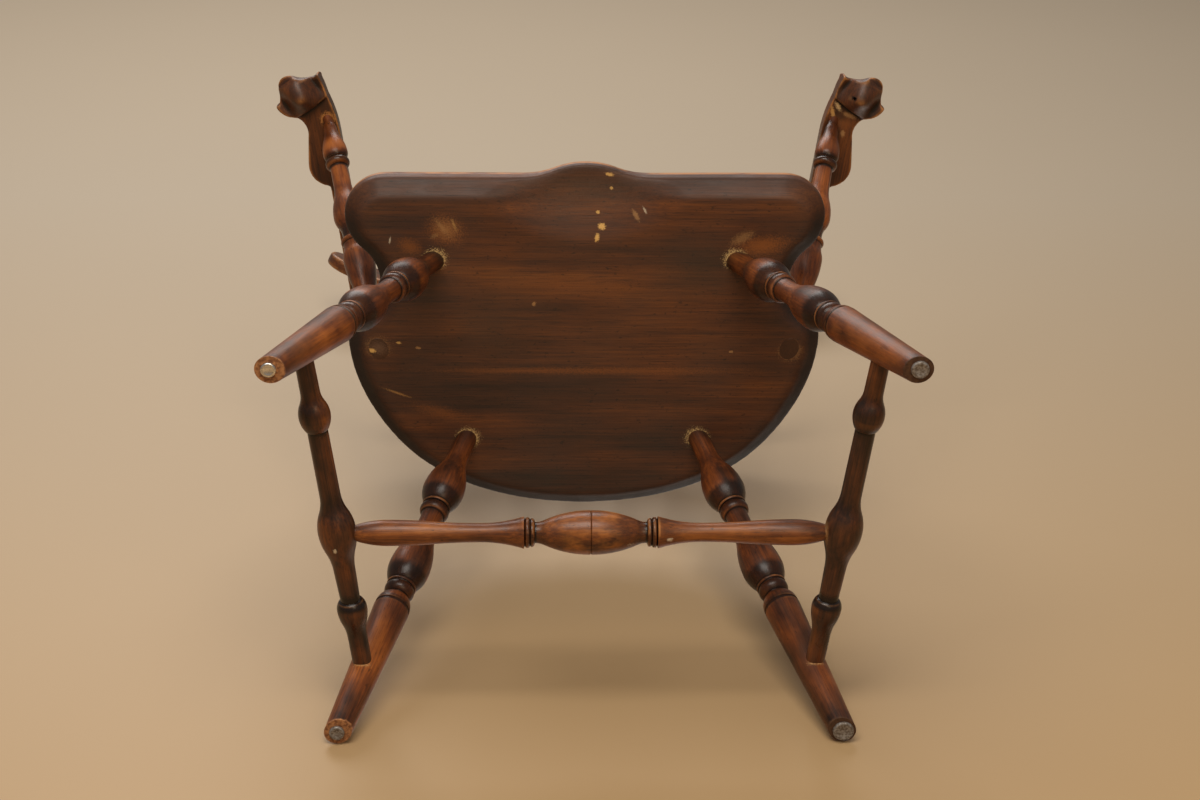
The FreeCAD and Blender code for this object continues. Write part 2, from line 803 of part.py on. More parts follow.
seat_holes = []
bow_holes = []
comb_holes = []
comb_pins = []
for number, (seat_point, bow_point, comb_point) in LONG.items():
    name = "back_spindle_%d" % number
    along = unit(seat_point, comb_point)
    length = (comb_point - seat_point).Length
    to_bow = (bow_point - seat_point).Length
    foot_dia = size("spindle_foot_dia")
    bow_dia = size("spindle_bow_dia")
    top_dia = size("spindle_top_dia")
    depth = size("spindle_seat_depth")
    comb_depth = size("spindle_comb_depth")
    stations = [
        ("line", as_size(0), foot_dia),
        ("ogee", size("spindle_swell_at"), size("spindle_swell_dia")),
        ("ogee", as_size(to_bow) - size("bow_height"), bow_dia),
        ("line", as_size(to_bow) + size("bow_height"), bow_dia),
        ("line", as_size(length), top_dia),
        ("line", comb_depth + length, top_dia),
    ]
    blank = aim(turned(name + "_blank", -depth, foot_dia, stations), seat_point, along)
    seat_from = seat_point - along * (depth.value + clear)
    seat_holes.append(drill(name + "_seat_hole", seat_from, along, foot_dia, depth * 2))
    bow_from = bow_point - along * mm("bow_height")
    bow_holes.append(drill(name + "_bow_hole", bow_from, along, bow_dia, size("bow_height") * 2))
    comb_from = comb_point - along * mm("socket_mouth")
    comb_reach = comb_depth + size("socket_mouth") + size("clearance")
    comb_holes.append(drill(name + "_comb_hole", comb_from, along, top_dia, comb_reach))
    if number not in PINNED_SPINDLES:
        keep(name, blank)
        continue
    # A pin from behind holds the comb on this spindle
    step = number - (BACK_SPINDLES + 1) / 2
    run = step * mm("spindle_comb_pitch")
    face = comb_spot(run, comb_depth.value / 2, mm("comb_thickness") / 2)
    middle = comb_spot(run, comb_depth.value / 2, 0)
    inward = unit(face, middle)
    comb_pins.append(rod(name + "_pin", face, inward, size("comb_pin_dia"), size("comb_pin_length")))
    outside = face - inward * mm("pin_mouth")
    pin_reach = size("comb_pin_length") + size("pin_mouth") + clear
    pin_hole = drill(name + "_pin_hole", outside, inward, size("comb_pin_dia"), pin_reach)
    comb_holes.append(pin_hole)
    keep(name, cut(name, blank, pin_hole))
keep("comb_pins", group("comb_pins", comb_pins))

for (side, number), (seat_point, bow_point) in SHORT.items():
    name = "arm_spindle_%s_%d" % (side, number)
    along = unit(seat_point, bow_point)
    length = as_size((bow_point - seat_point).Length)
    foot_dia = size("spindle_foot_dia")
    top_dia = size("short_top_dia")
    depth = size("spindle_seat_depth")
    bow_depth = size("short_bow_depth")
    stations = [
        ("line", as_size(0), foot_dia),
        ("ogee", length * size("short_swell_share"), size("spindle_swell_dia")),
        ("ogee", length - size("bow_height") / 2, top_dia),
        ("line", length + bow_depth, top_dia),
    ]
    keep(name, aim(turned(name, -depth, foot_dia, stations), seat_point, along))
    seat_from = seat_point - along * (depth.value + clear)
    seat_holes.append(drill(name + "_seat_hole", seat_from, along, foot_dia, depth * 2))
    bow_from = bow_point - along * mm("socket_mouth")
    reach = bow_depth + size("socket_mouth") + size("clearance")
    bow_holes.append(drill(name + "_bow_hole", bow_from, along, top_dia, reach))


# The seat: a sawn plank with a bevel below, a rounded top edge, a saddle and a hollow pommel

plank = new_body("seat_plank")
sketch = new_sketch(plank, "XY_Plane")
half_width = size("seat_half_width")
corner = size("seat_corner_radius")
hip = size("seat_hip_radius")
apex = size("seat_rear")
rear_radius, meet_x, meet_y = arch(half_width, -size("seat_hip_fwd"), as_size(1), as_size(0), hip, apex)
meet_x = meet_x * rear_radius
meet_y = apex - rear_radius + meet_y * rear_radius
pommel_x = size("seat_pommel_half")
front_y = -size("seat_front")
edge = Outline(sketch, -pommel_x, front_y)
edge.ogee(0, -size("seat_pommel"), "x")
edge.ogee(pommel_x, front_y, "x")
edge.line(half_width - corner, front_y)
edge.tangent_arc(half_width, front_y + corner, "x", True)
edge.ogee(size("seat_notch_out"), -size("seat_notch_fwd"))
edge.ogee(half_width, -size("seat_hip_fwd"))
edge.tangent_arc(meet_x, meet_y, "y", True)
edge.curve(-meet_x, meet_y, rear_radius, -1)
edge.tangent_arc(-half_width, -size("seat_hip_fwd"), "y", False)
edge.ogee(-size("seat_notch_out"), -size("seat_notch_fwd"))
edge.ogee(-half_width, front_y + corner)
edge.tangent_arc(corner - half_width, front_y, "x", False)
edge.close()
solid = pad(plank, sketch, size("seat_thickness"))
solid = rounded(plank, solid, edges_at(solid, mm("seat_thickness")), size("seat_edge_round"))
bevel = plank.newObject("PartDesign::Chamfer", "seat_plank_bevel")
bevel.Base = (solid, edges_at(solid, 0))
bevel.ChamferType = "Two distances"
bevel.setExpression("Size", "Sizes.seat_bevel_in")
bevel.setExpression("Size2", "Sizes.seat_bevel_up")
doc.recompute()
plank.Placement.Base = Vector(0, 0, seat_low)
seat_tools = group("seat_holes", leg_sockets + post_sockets + seat_holes)
keep("seat", cut("seat", plank, saddle, hollow, seat_tools))


# The arm bow, level and three-centred, narrowing to a pointed ear at each hand

def hand_spot(sign, out, fwd):
    """A point of a hand, seen from above, as a place on the chair."""
    x = size("post_top_out") + out * slant_cos + fwd * slant_sin
    y = out * slant_sin - fwd * slant_cos - size("post_top_fwd")
    return (x if sign > 0 else -x), y


def hand_corner(name):
    return size("hand_%s_out" % name), size("hand_%s_fwd" % name)


bow = new_body("bow_strip")
sketch = new_sketch(bow, "XY_Plane")
half = size("bow_width") / 2


def bow_offset(offset):
    """Turning and meeting points of the bow's edge on the right, at an offset from its middle line."""
    turn = (bow_turn_x + offset * slant_cos, bow_turn_y + offset * slant_sin)
    reach = bow_radius + offset
    meet = (bow_meet_x * reach, size("bow_rear") - bow_radius + bow_meet_y * reach)
    return turn, meet, size("bow_corner_radius") + offset, reach


def hand_arc(outline, sign, name, via):
    """An arc to a hand's corner, passing a point given in the hand's own measure."""
    spot = hand_spot(sign, *hand_corner(name))
    middle = hand_spot(sign, as_size(via[0]), as_size(via[1]))
    outline.through(*spot, middle[0].value, middle[1].value)


strip = Outline(sketch, *hand_spot(1, -half, size("hand_strip_fwd")))
hand_arc(strip, 1, "inner_heel", INNER_HEEL_VIA)
hand_arc(strip, 1, "inner_ear", INNER_EAR_VIA)
strip.line(*hand_spot(1, half, size("hand_front_fwd")))
turn, meet, corner_reach, rear_reach = bow_offset(half)
strip.line(*turn)
strip.curve(*meet, corner_reach, -1)
strip.curve(-meet[0], meet[1], rear_reach, -1)
strip.curve(-turn[0], turn[1], corner_reach, -1)
strip.line(*hand_spot(-1, half, size("hand_front_fwd")))
strip.line(*hand_spot(-1, *hand_corner("inner_ear")))
hand_arc(strip, -1, "inner_heel", INNER_EAR_VIA)
heel_via = hand_spot(-1, as_size(INNER_HEEL_VIA[0]), as_size(INNER_HEEL_VIA[1]))
strip.through(*hand_spot(-1, -half, size("hand_strip_fwd")), heel_via[0].value, heel_via[1].value)
turn, meet, corner_reach, rear_reach = bow_offset(-half)
strip.line(-turn[0], turn[1])
strip.curve(-meet[0], meet[1], corner_reach, 1)
strip.curve(*meet, rear_reach, 1)
strip.curve(*turn, corner_reach, 1)
strip.close()
solid = pad(bow, sketch, size("bow_height"))
bow.Placement.Base = Vector(0, 0, bow_low)
rounded(bow, solid, edges_at(solid, 0) + edges_at(solid, mm("bow_height")), size("bow_edge_round"))
keep("arm_bow", cut("arm_bow", bow, group("bow_holes", bow_holes + list(post_holes.values()))))


# Hand blocks glued outside the bow, and knuckle blocks nailed up under them

def hand_piece(name, sign, corners, height, level):
    """A sawn block with a hand's outline, drawn in the hand's own measure."""
    body = new_body(name)
    sketch = new_sketch(body, "XY_Plane")
    (out, fwd), rest = corners[0], corners[1:]
    outline = Outline(sketch, out * sign, -fwd)
    for (out, fwd), via in rest:
        if via is None:
            outline.line(out * sign, -fwd)
        else:
            outline.through(out * sign, -fwd, via[0] * sign, -via[1])
    outline.close()
    pad(body, sketch, height)
    place = Vector(sign * mm("post_top_out"), -mm("post_top_fwd"), level)
    body.Placement = Placement(place, Rotation(up, sign * mm("bow_slant")))
    return body


brads = []
glue = size("glue_line")
hand_face = half + glue
outer_corners = [(hand_corner(name), via) for name, _, _, via in HAND_OUTLINE]
for side, sign in SIDES:
    brad_x, brad_y = hand_spot(sign, size("brad_out"), size("brad_fwd"))
    brad_spot = Vector(brad_x.value, brad_y.value, bow_low - mm("knuckle_height") + mm("brad_sunk"))
    brad_length = size("knuckle_height") - size("brad_sunk") + size("brad_bite")
    brad = rod("brad_" + side, brad_spot, up, size("brad_dia"), brad_length)
    brads.append(brad)
    brad_hole = drill("brad_hole_" + side, brad_spot, up, size("brad_dia"), brad_length + size("clearance"))
    mouth_from = brad_spot - up * (mm("brad_sunk") * 2)
    brad_mouth = drill("brad_mouth_" + side, mouth_from, up, size("brad_hole_dia"), size("brad_sunk") * 2)
    # Hand block
    name = "hand_block_" + side
    corners = [(hand_face, size("hand_bow_rear_fwd"))] + outer_corners[1:8]
    corners.append(((hand_face, size("hand_front_fwd")), None))
    body = hand_piece(name + "_blank", sign, corners, size("bow_height"), bow_low)
    keep(name, cut(name, body, brad_hole, post_holes[side]))
    # Knuckle block
    name = "knuckle_" + side
    corners = [hand_corner("heel")] + outer_corners[4:]
    knuckle_level = bow_low - mm("knuckle_height")
    body = hand_piece(name + "_blank", sign, corners, size("knuckle_height") - glue, knuckle_level)
    keep(name, cut(name, body, brad_hole, brad_mouth))
keep("knuckle_brads", group("knuckle_brads", brads))


# The comb: a bent, leaning rail shaped by its plan and its front outline

plan = new_body("comb_plan")
sketch = new_sketch(plan, "XY_Plane")
bend = size("comb_bend_radius")
half = size("comb_thickness") / 2
reach = size("comb_half_length") * COMB_SPARE


def bend_depth(radius):
    """How far forward a circle about the bend's centre has come at the comb's ends."""
    square = radius * radius - reach * reach
    return Size("sqrt(%s)" % square.text, sqrt(square.value)) - bend


band = Outline(sketch, -reach, bend_depth(bend + half))
band.curve(reach, bend_depth(bend + half), bend + half, 1)
band.line(reach, bend_depth(bend - half))
band.curve(-reach, bend_depth(bend - half), bend - half, -1)
band.close()
pad(plan, sketch, size("comb_ear_height") * COMB_SPARE)

front = new_body("comb_front")
sketch = new_sketch(front, "XZ_Plane")
toe = size("comb_toe_out")
tip = size("comb_half_length")
ear = size("comb_ear_out")
ear_level = size("comb_ear_height") - size("comb_ear_round")
dip = size("comb_dip_out")
edge = Outline(sketch, toe, 0)
edge.ogee(ear, size("comb_heel_height"), "x")
edge.tangent_arc(tip, ear_level, "y", False)
edge.tangent_arc(ear, size("comb_ear_height"), "x", False)
edge.ogee(dip, size("comb_dip_height"), "x")
edge.ogee(0, size("comb_middle_height"), "x")
edge.ogee(-dip, size("comb_dip_height"), "x")
edge.ogee(-ear, size("comb_ear_height"), "x")
edge.tangent_arc(-tip, ear_level, "x", True)
edge.tangent_arc(-ear, size("comb_heel_height"), "y", True)
edge.ogee(-toe, 0, "x")
edge.close()
pad(front, sketch, size("comb_half_length"), True)
rail = doc.addObject("Part::Common", "comb_rail")
rail.Base = plan
rail.Tool = front
rail.Placement = comb_place
keep("comb", cut("comb", rail, *comb_holes))


# Bring the middle of the whole chair's footprint to the origin, check every piece and write it

doc.recompute()
for thing in doc.Objects:
    if "Invalid" in thing.State or "Error" in thing.State:
        raise RuntimeError("%s did not build: %s" % (thing.Label, thing.State))
overall = FreeCAD.BoundBox()
for thing in parts:
    overall.add(thing.Shape.optimalBoundingBox(False, False))
shift = Placement(Vector(-overall.Center.x, -overall.Center.y, -overall.ZMin), Rotation())
for thing in parts:
    thing.Placement = shift.multiply(thing.Placement)
doc.recompute()
os.makedirs("parts", exist_ok=True)
for thing in parts:
    if thing.Shape.isNull() or not thing.Shape.isValid():
        raise RuntimeError("%s has no sound shape" % thing.Label)
    thing.Shape.exportStep("parts/%s.step" % thing.Label)
print("%d pieces, %.1f x %.1f x %.1f mm, shifted %.3f back" % (
    len(parts), overall.XLength, overall.YLength, overall.ZLength, -overall.Center.y))
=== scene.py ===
# %% [markdown]
# A comb back Windsor armchair, seen from below as it lies on its back.
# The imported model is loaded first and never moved: every piece made here takes its place from it.
# The chair's own frame is upright, so the floor of the picture stands behind the chair as a wall,
# and the camera looks up at the seat's underside.

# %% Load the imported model
import math
import bpy
import numpy as np
from mathutils import Matrix, Vector, kdtree


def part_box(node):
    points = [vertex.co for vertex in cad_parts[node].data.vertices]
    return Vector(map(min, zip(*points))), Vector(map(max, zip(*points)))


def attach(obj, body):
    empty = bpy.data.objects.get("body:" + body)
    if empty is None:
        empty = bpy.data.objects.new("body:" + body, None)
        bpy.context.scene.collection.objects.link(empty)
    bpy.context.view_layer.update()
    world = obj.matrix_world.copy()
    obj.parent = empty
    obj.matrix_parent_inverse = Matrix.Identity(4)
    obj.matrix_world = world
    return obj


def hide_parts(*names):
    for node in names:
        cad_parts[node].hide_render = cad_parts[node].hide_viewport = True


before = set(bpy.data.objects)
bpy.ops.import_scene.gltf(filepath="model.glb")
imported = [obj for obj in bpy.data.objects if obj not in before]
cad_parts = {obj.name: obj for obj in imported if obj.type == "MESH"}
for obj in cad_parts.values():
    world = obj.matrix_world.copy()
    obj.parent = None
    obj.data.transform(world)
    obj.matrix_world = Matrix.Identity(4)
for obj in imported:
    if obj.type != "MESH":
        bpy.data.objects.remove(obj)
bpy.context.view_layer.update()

MM = 0.001
SEAT_LOW, SEAT_HIGH = 405, 443
ARM_LOW, ARM_HIGH = 655, 675
POST_X, POST_Y = 287, -178
CAD_SEAT_REAR = 180
DRAWING_BACK = Vector(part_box("seat")[1]).y - CAD_SEAT_REAR * MM


def place(x, y, z):
    """A point of the drawing in millimetres, as a place in the model's frame in metres."""
    return Vector((x * MM, y * MM + DRAWING_BACK, z * MM))


print("the drawing's zero lies", round(DRAWING_BACK, 4), "m from the frame's zero along Y")

# %% [markdown]
# The camera stands in front of the chair and far below its feet, as a person does who looks down at a chair
# lying on its back. Its place and turn were fitted to the legs, stretchers and arms, so they are plain numbers.

# %% Camera
view = bpy.data.cameras.new("camera")
camera = bpy.data.objects.new("camera", view)
bpy.context.collection.objects.link(camera)
bpy.context.scene.camera = camera
right = Vector((0.99958, -0.0123, -0.02618))
up = Vector((0.00038, -0.89943, 0.43705))
back = Vector((-0.02893, -0.43688, -0.89905))
turn = Matrix((right, up, back)).transposed().to_4x4()
camera.matrix_world = Matrix.Translation((-0.065, -1.212956, -2.16057)) @ turn
view.sensor_width = 36
view.lens = 78.57
view.clip_end = 50
print("camera", [round(v, 3) for v in camera.location], "lens", view.lens)

# %% [markdown]
# Two plain pale floors. The one that the chair lies on in the picture is a plane behind it, touching the rear feet
# and the comb. The other is the ground at the feet, for views of the chair standing up.
# Each shows only from its upper side, so neither hides the chair from the other side.

# %% Floors
def only(piece):
    """Leaves one piece selected and active."""
    if bpy.context.mode != "OBJECT":
        bpy.ops.object.mode_set(mode="OBJECT")
    bpy.ops.object.select_all(action="DESELECT")
    piece.select_set(True)
    bpy.context.view_layer.objects.active = piece


def node(tree, kind, inputs=None, **settings):
    """Adds a shader node, sets its options, and fills its inputs with numbers or with other nodes' outputs."""
    made = tree.nodes.new("ShaderNode" + kind)
    for name, value in settings.items():
        setattr(made, name, value)
    for name, value in (inputs or {}).items():
        if isinstance(value, bpy.types.NodeSocket):
            tree.links.new(value, made.inputs[name])
        else:
            made.inputs[name].default_value = value
    return made


def new_finish(name):
    """An empty material and its node tree."""
    finish = bpy.data.materials.new(name)
    finish.use_nodes = True
    finish.node_tree.nodes.clear()
    return finish, finish.node_tree


def own_place(tree):
    """Where a spot lies in the model's frame."""
    return node(tree, "TexCoord").outputs["Object"]


def axis_of(tree, vector, axis):
    """One of the three parts of a vector."""
    return node(tree, "SeparateXYZ", {0: vector}).outputs[axis]


def measure(tree, name):
    """A number that the piece carries at each vertex."""
    return node(tree, "Attribute", attribute_name=name).outputs["Fac"]


def noise(tree, vector, scale, detail, roughness=0.5, distortion=0.0):
    made = node(tree, "TexNoise", {
        "Vector": vector, "Scale": scale, "Detail": detail, "Roughness": roughness, "Distortion": distortion})
    return made.outputs[0]


def ranged(tree, value, low, high, to_low=0.0, to_high=1.0):
    """A value brought from one range to another and held inside it."""
    made = node(tree, "MapRange", {
        "Value": value, "From Min": low, "From Max": high, "To Min": to_low, "To Max": to_high})
    return made.outputs[0]


def added(tree, first, second):
    return node(tree, "Math", {0: first, 1: second}, operation="ADD").outputs[0]


def times(tree, first, second):
    return node(tree, "Math", {0: first, 1: second}, operation="MULTIPLY").outputs[0]


def tinted(tree, factor, first, second, mode="MIX"):
    """A colour with another laid over it by a factor."""
    return node(tree, "Mix", {0: factor, 6: first, 7: second}, data_type="RGBA", blend_type=mode).outputs[2]


def floor_finish(name, near, far, roughness, glow):
    """A plain floor, warmer in tone at its near end than far off as painted warm light near and cool light far,
    that shows only from its upper side.
    """
    finish, tree = new_finish(name)
    spot = own_place(tree)
    # Painted light: the tone runs from the near colour, warm light, to the far one, cool light
    tint = tinted(tree, ranged(tree, axis_of(tree, spot, "Y"), -0.2, 1.6), (*near, 1), (*far, 1))
    tint = tinted(tree, ranged(tree, noise(tree, spot, 1.3, 3), 0.0, 1.0, 0.05, 0.0), tint, (0, 0, 0, 1))
    sheen = node(tree, "BsdfPrincipled", {
        "Base Color": tint, "Roughness": roughness, "Emission Color": tint, "Emission Strength": glow})
    clear = node(tree, "BsdfTransparent")
    under = node(tree, "NewGeometry").outputs["Backfacing"]
    one_sided = node(tree, "MixShader", {0: under, 1: sheen.outputs[0], 2: clear.outputs[0]})
    node(tree, "OutputMaterial", {0: one_sided.outputs[0]})
    return finish


def floor_plane(name, spot, tilt, finish):
    """A wide plane that belongs to the stage."""
    bpy.ops.object.select_all(action="DESELECT")
    bpy.ops.mesh.primitive_plane_add(size=30, location=spot, rotation=(tilt, 0, 0))
    plane = bpy.context.object
    plane.name = name
    plane.data.materials.append(finish)
    return plane


# The floor behind is painted with warm light near its foot and cool light far up; the ground has one even tone
NEAR_WARM_LIGHT, FAR_COOL_LIGHT, LEVEL = (0.42, 0.268, 0.124), (0.42, 0.34, 0.25), (0.5, 0.38, 0.24)
REAR_FEET = (0, 0.2126, 0.003)
# From the rear feet to the comb, the floor behind goes this far back in this height
lean = math.atan2(0.0385, 1.117)
behind = floor_plane(
    "floor_behind", REAR_FEET, math.pi / 2 - lean, floor_finish("pale_floor", NEAR_WARM_LIGHT, FAR_COOL_LIGHT, 0.55, 0.0))
ground = floor_plane("floor_below", (0, 0, 0), 0, floor_finish("pale_ground", LEVEL, LEVEL, 0.6, 0.35))
behind.visible_shadow = False
ground.visible_shadow = False
ground.visible_diffuse = False
ground.visible_glossy = False
print("floor behind leans", round(math.degrees(lean), 2), "degrees")

# %% [markdown]
# Plain soft studio light: a wide panel in front of the chair, which is above it in the picture, a second panel
# over its head, a weak one near the camera and one behind for views of the back. The world gives the even
# light of a pale room.

# %% Light
def panel(name, spot, aim, size, watts, colour):
    """A soft rectangular light that faces a point."""
    lamp = bpy.data.lights.new(name, "AREA")
    lamp.shape = "RECTANGLE"
    lamp.size, lamp.size_y = size
    lamp.energy, lamp.color = watts, colour
    thing = bpy.data.objects.new(name, lamp)
    bpy.context.collection.objects.link(thing)
    toward = Vector(aim) - Vector(spot)
    thing.matrix_world = Matrix.Translation(spot) @ toward.to_track_quat("-Z", "Y").to_matrix().to_4x4()


panel("panel_front", (-0.3, -2.6, -0.8), (0, 0, 0.4), (1.9, 1.2), 58, (1.0, 0.94, 0.85))
panel("panel_top", (-0.5, -1.9, 2.7), (-0.1, 0.1, 0.6), (2.2, 1.6), 54, (1.0, 0.98, 0.95))
panel("panel_near", (0.7, -1.9, -2.2), (0, 0, 0.3), (1.4, 1.0), 18, (1.0, 0.78, 0.5))
panel("panel_back", (1.0, 3.0, 1.9), (0, 0, 0.6), (2.2, 1.8), 40, (1.0, 0.97, 0.93))
world = bpy.data.worlds.new("studio")
bpy.context.scene.world = world
world.use_nodes = True
room = world.node_tree.nodes["Background"]
room.inputs["Color"].default_value = (1.0, 0.94, 0.86, 1)
room.inputs["Strength"].default_value = 0.26
bpy.context.scene.view_settings.view_transform = "Standard"
print("four panels and the world's light")

# %% [markdown]
# The finish on every wooden piece: a dark red-brown stain, rubbed thin on the proud parts, gone nearly black
# in the hollows, under a satin varnish. It could be painted on a picture, but noise stretched along the grain
# follows each piece and has no seams. Each piece carries its own grain directions as an attribute, with the
# wood's length along the third axis, and turned pieces also carry how far a spot stands proud of its neighbours.

# %% Wood finish
DEEP = (0.009, 0.0048, 0.0034, 1)
BROWN = (0.05, 0.0195, 0.0098, 1)
RED = (0.16, 0.043, 0.0105, 1)
AMBER = (0.42, 0.143, 0.026, 1)
WORN = (0.46, 0.19, 0.055, 1)
BLUSH = (1, 0.77, 0.7, 1)


def spread(tree, grain, along, *texture):
    """Noise stretched along the grain: along is how much slower it changes that way."""
    drawn = node(tree, "Mapping", {"Vector": grain, "Scale": (1, 1, along)})
    return noise(tree, drawn.outputs[0], *texture)


def shaded(tree, colour, dull, bumps, sockets):
    """Ends a finish: its colour, roughness and bumps (height, strength, reach), and the shader's other sockets."""
    height, strength, reach = bumps
    bump = node(tree, "Bump", {"Height": height, "Strength": strength, "Distance": reach})
    shader = node(tree, "BsdfPrincipled", {
        "Base Color": colour, "Roughness": dull, "Normal": bump.outputs[0], **sockets})
    node(tree, "OutputMaterial", {0: shader.outputs[0]})


def stained_wood(name, warmth=0.0, marks=None, gloss=0.34, mottle=(0.5, 24, 0.55), lines=0.3, shine=0.36,
                 blush=0.0):
    """The chair's finish. Marks is a function that lays the wear of one piece over the stain.

    Mottle gives the clouds' stretch, scale and strength, lines the strength of the figure and the fibres,
    and blush how much redder the stain is.
    """
    finish, tree = new_finish(name)
    grain = node(tree, "Attribute", attribute_name="grain").outputs["Vector"]
    height, edge = measure(tree, "relief"), measure(tree, "edge")
    figure = spread(tree, grain, 0.07, 48, 4, 0.6, 0.5)
    fibre = spread(tree, grain, 0.018, 430, 5, 0.7)
    pores = spread(tree, grain, 0.03, 1100, 2, 0.55)
    cloud = spread(tree, grain, *mottle[:2], 4, 0.6)
    patch = spread(tree, grain, 0.5, 55, 4, 0.65)
    tone = added(tree, times(tree, figure, lines), times(tree, fibre, lines))
    tone = added(tree, tone, times(tree, cloud, mottle[2]))
    tone = added(tree, tone, warmth + 0.5 - lines - mottle[2] / 2)
    stain = node(tree, "ValToRGB", {0: tone})
    ramp = stain.color_ramp
    ramp.interpolation = "B_SPLINE"
    for element, at, tint in zip(ramp.elements, (0.36, 0.74), (DEEP, AMBER)):
        element.position, element.color = at, tint
    ramp.elements.new(0.47).color = BROWN
    ramp.elements.new(0.59).color = RED
    colour = tinted(tree, ranged(tree, pores, 0.57, 0.7, 0.0, 0.5), stain.outputs[0], DEEP)
    dents = spread(tree, grain, 0.5, 330, 3, 0.55)
    colour = tinted(tree, ranged(tree, dents, 0.63, 0.72, 0.0, 0.6), colour, DEEP)
    # Rubbed thin where it stands proud, dark with old wax where it lies low, bare along the sharp edges.
    # On the seat the low relief is its bevel's painted shade
    proud = times(tree, ranged(tree, height, 0.3, 3.0), ranged(tree, patch, 0.36, 0.6))
    colour = tinted(tree, times(tree, proud, 0.7), colour, AMBER)
    colour = tinted(tree, ranged(tree, height, -0.1, -1.8, 0.0, 0.94), colour, DEEP)
    colour = tinted(tree, ranged(tree, edge, -0.06, -0.4, 0.0, 0.94), colour, DEEP)
    bare = times(tree, ranged(tree, edge, 0.1, 0.36), ranged(tree, patch, 0.4, 0.58))
    bare = times(tree, bare, ranged(tree, height, -2.2, 0.4, 0.2, 0.7))
    colour = tinted(tree, bare, colour, WORN)
    colour = tinted(tree, blush, colour, BLUSH, "MULTIPLY")
    dull = ranged(tree, patch, 0.3, 0.7, gloss - 0.06, gloss + 0.1)
    dull = added(tree, dull, ranged(tree, height, -0.2, -1.4, 0.0, -0.12))
    if marks:
        colour, dull = marks(tree, colour, dull)
    surface = added(tree, times(tree, fibre, 0.5), ranged(tree, pores, 0.55, 0.7, 0.0, -0.7))
    shaded(tree, colour, dull, (surface, 0.2, 0.0006), {
        "IOR": 1.45, "Specular IOR Level": shine, "Coat Weight": 0.04, "Coat Roughness": 0.15})
    return finish


def laid_marks(tree, colour, rows):
    """Lays ragged spots over a colour. A row gives place, half sizes, turn, tint, strength and softness."""
    spot = own_place(tree)
    ragged = times(tree, noise(tree, spot, 640, 8, 0.8), 3.2)
    for middle, sizes, turn_by, tint, strength, soft in rows:
        near = node(tree, "Mapping", {
            "Vector": spot, "Location": place(*middle), "Rotation": (0, 0, math.radians(turn_by)),
            "Scale": [length * MM for length in sizes]}, vector_type="TEXTURE").outputs[0]
        away = node(tree, "VectorMath", {0: near}, operation="LENGTH").outputs["Value"]
        away = added(tree, away, ragged)
        colour = tinted(tree, ranged(tree, away, 2.6, 2.6 - soft, 0.0, strength), colour, tint + (1,))
    return colour


CHIP, TAN, ORANGE = (0.62, 0.36, 0.11), (0.33, 0.17, 0.065), (0.27, 0.085, 0.02)
# The haze tint is a painted sheen of light on the varnish
PALE, PAINTED_SHEEN, GLUE_TINT = (0.6, 0.5, 0.36), (0.04, 0.03, 0.02), (0.6, 0.4, 0.17)
print("stain from", DEEP[:3], "to", AMBER[:3])

# %% [markdown]
# Turned pieces. A turner works a square blank between two centres, so each piece is one outline spun about a line.
# The outline is drawn as a chain of points with the extrude tool and then spun. Vases and hollows are pairs of arcs
# that run level at both ends, beads are single arcs, and small steps are straight.

# %% Outlines
def arc_from(start, end, along, steps=7):
    """Points of an arc that leaves its start along one of the two axes."""
    other = 1 - along
    run, rise = end[along] - start[along], end[other] - start[other]
    if abs(rise) < 1e-6:
        return [end]
    radius = (run * run + rise * rise) / (2 * abs(rise))
    sweep = math.atan2(abs(run) / radius, 1 - abs(rise) / radius)
    points = []
    for step in range(1, steps + 1):
        angle = sweep * step / steps
        point = [0.0, 0.0]
        point[along] = start[along] + math.copysign(radius * math.sin(angle), run)
        point[other] = start[other] + math.copysign(radius * (1 - math.cos(angle)), rise)
        points.append(tuple(point))
    return points


def arc_into(start, end, along, steps=7):
    """Points of an arc that arrives at its end along one of the two axes."""
    backward = [end] + arc_from(end, start, along, steps)
    return backward[-2::-1]


def ogee(start, end, along, steps=7):
    """Points of two arcs that meet half way and run level at both ends."""
    middle = ((start[0] + end[0]) / 2, (start[1] + end[1]) / 2)
    return arc_from(start, middle, along, steps) + arc_into(middle, end, along, steps)


def bead(start, end_at, crest, steps=8):
    """Points of one arc that rises to a crest and falls back."""
    half, rise = (end_at - start[0]) / 2, crest - start[1]
    radius = (half * half + rise * rise) / (2 * rise)
    sweep = math.asin(min(1.0, half / radius))
    points = []
    for step in range(1, steps + 1):
        angle = sweep * (2 * step / steps - 1)
        points.append((start[0] + half + radius * math.sin(angle), crest - radius + radius * math.cos(angle)))
    return points


def turning_outline(first, stations):
    """Points of (distance along, radius) in millimetres from rows of form, distance and diameter."""
    points = [(first[0], first[1] / 2)]
    for form, at, diameter in stations:
        start, end = points[-1], (at, diameter / 2)
        if form == "ogee":
            points += ogee(start, end, 0)
        elif form == "away":
            points += arc_from(start, end, 0)
        elif form == "into":
            points += arc_into(start, end, 0)
        elif form == "bead":
            points += bead(start, at, diameter / 2)
        else:
            points.append(end)
    return points


def mirrored(points, length):
    """The outline followed by its mirror image, for a piece with two like halves."""
    return points + [(length - at, radius) for at, radius in reversed(points[:-1])]


print("an ogee from 10 to 20 mm:", [(round(a, 1), round(r, 1)) for a, r in ogee((0, 10), (30, 20), 0, 2)])

# %% The lathe
def start_point(name):
    """A new piece that is one point at the origin, in edit mode."""
    bpy.ops.object.select_all(action="DESELECT")
    bpy.ops.mesh.primitive_plane_add(size=0.01)
    piece = bpy.context.object
    piece.name = piece.data.name = name
    bpy.ops.object.mode_set(mode="EDIT")
    bpy.ops.mesh.select_mode(type="VERT")
    bpy.ops.mesh.select_all(action="SELECT")
    bpy.ops.mesh.merge(type="CENTER")
    return piece


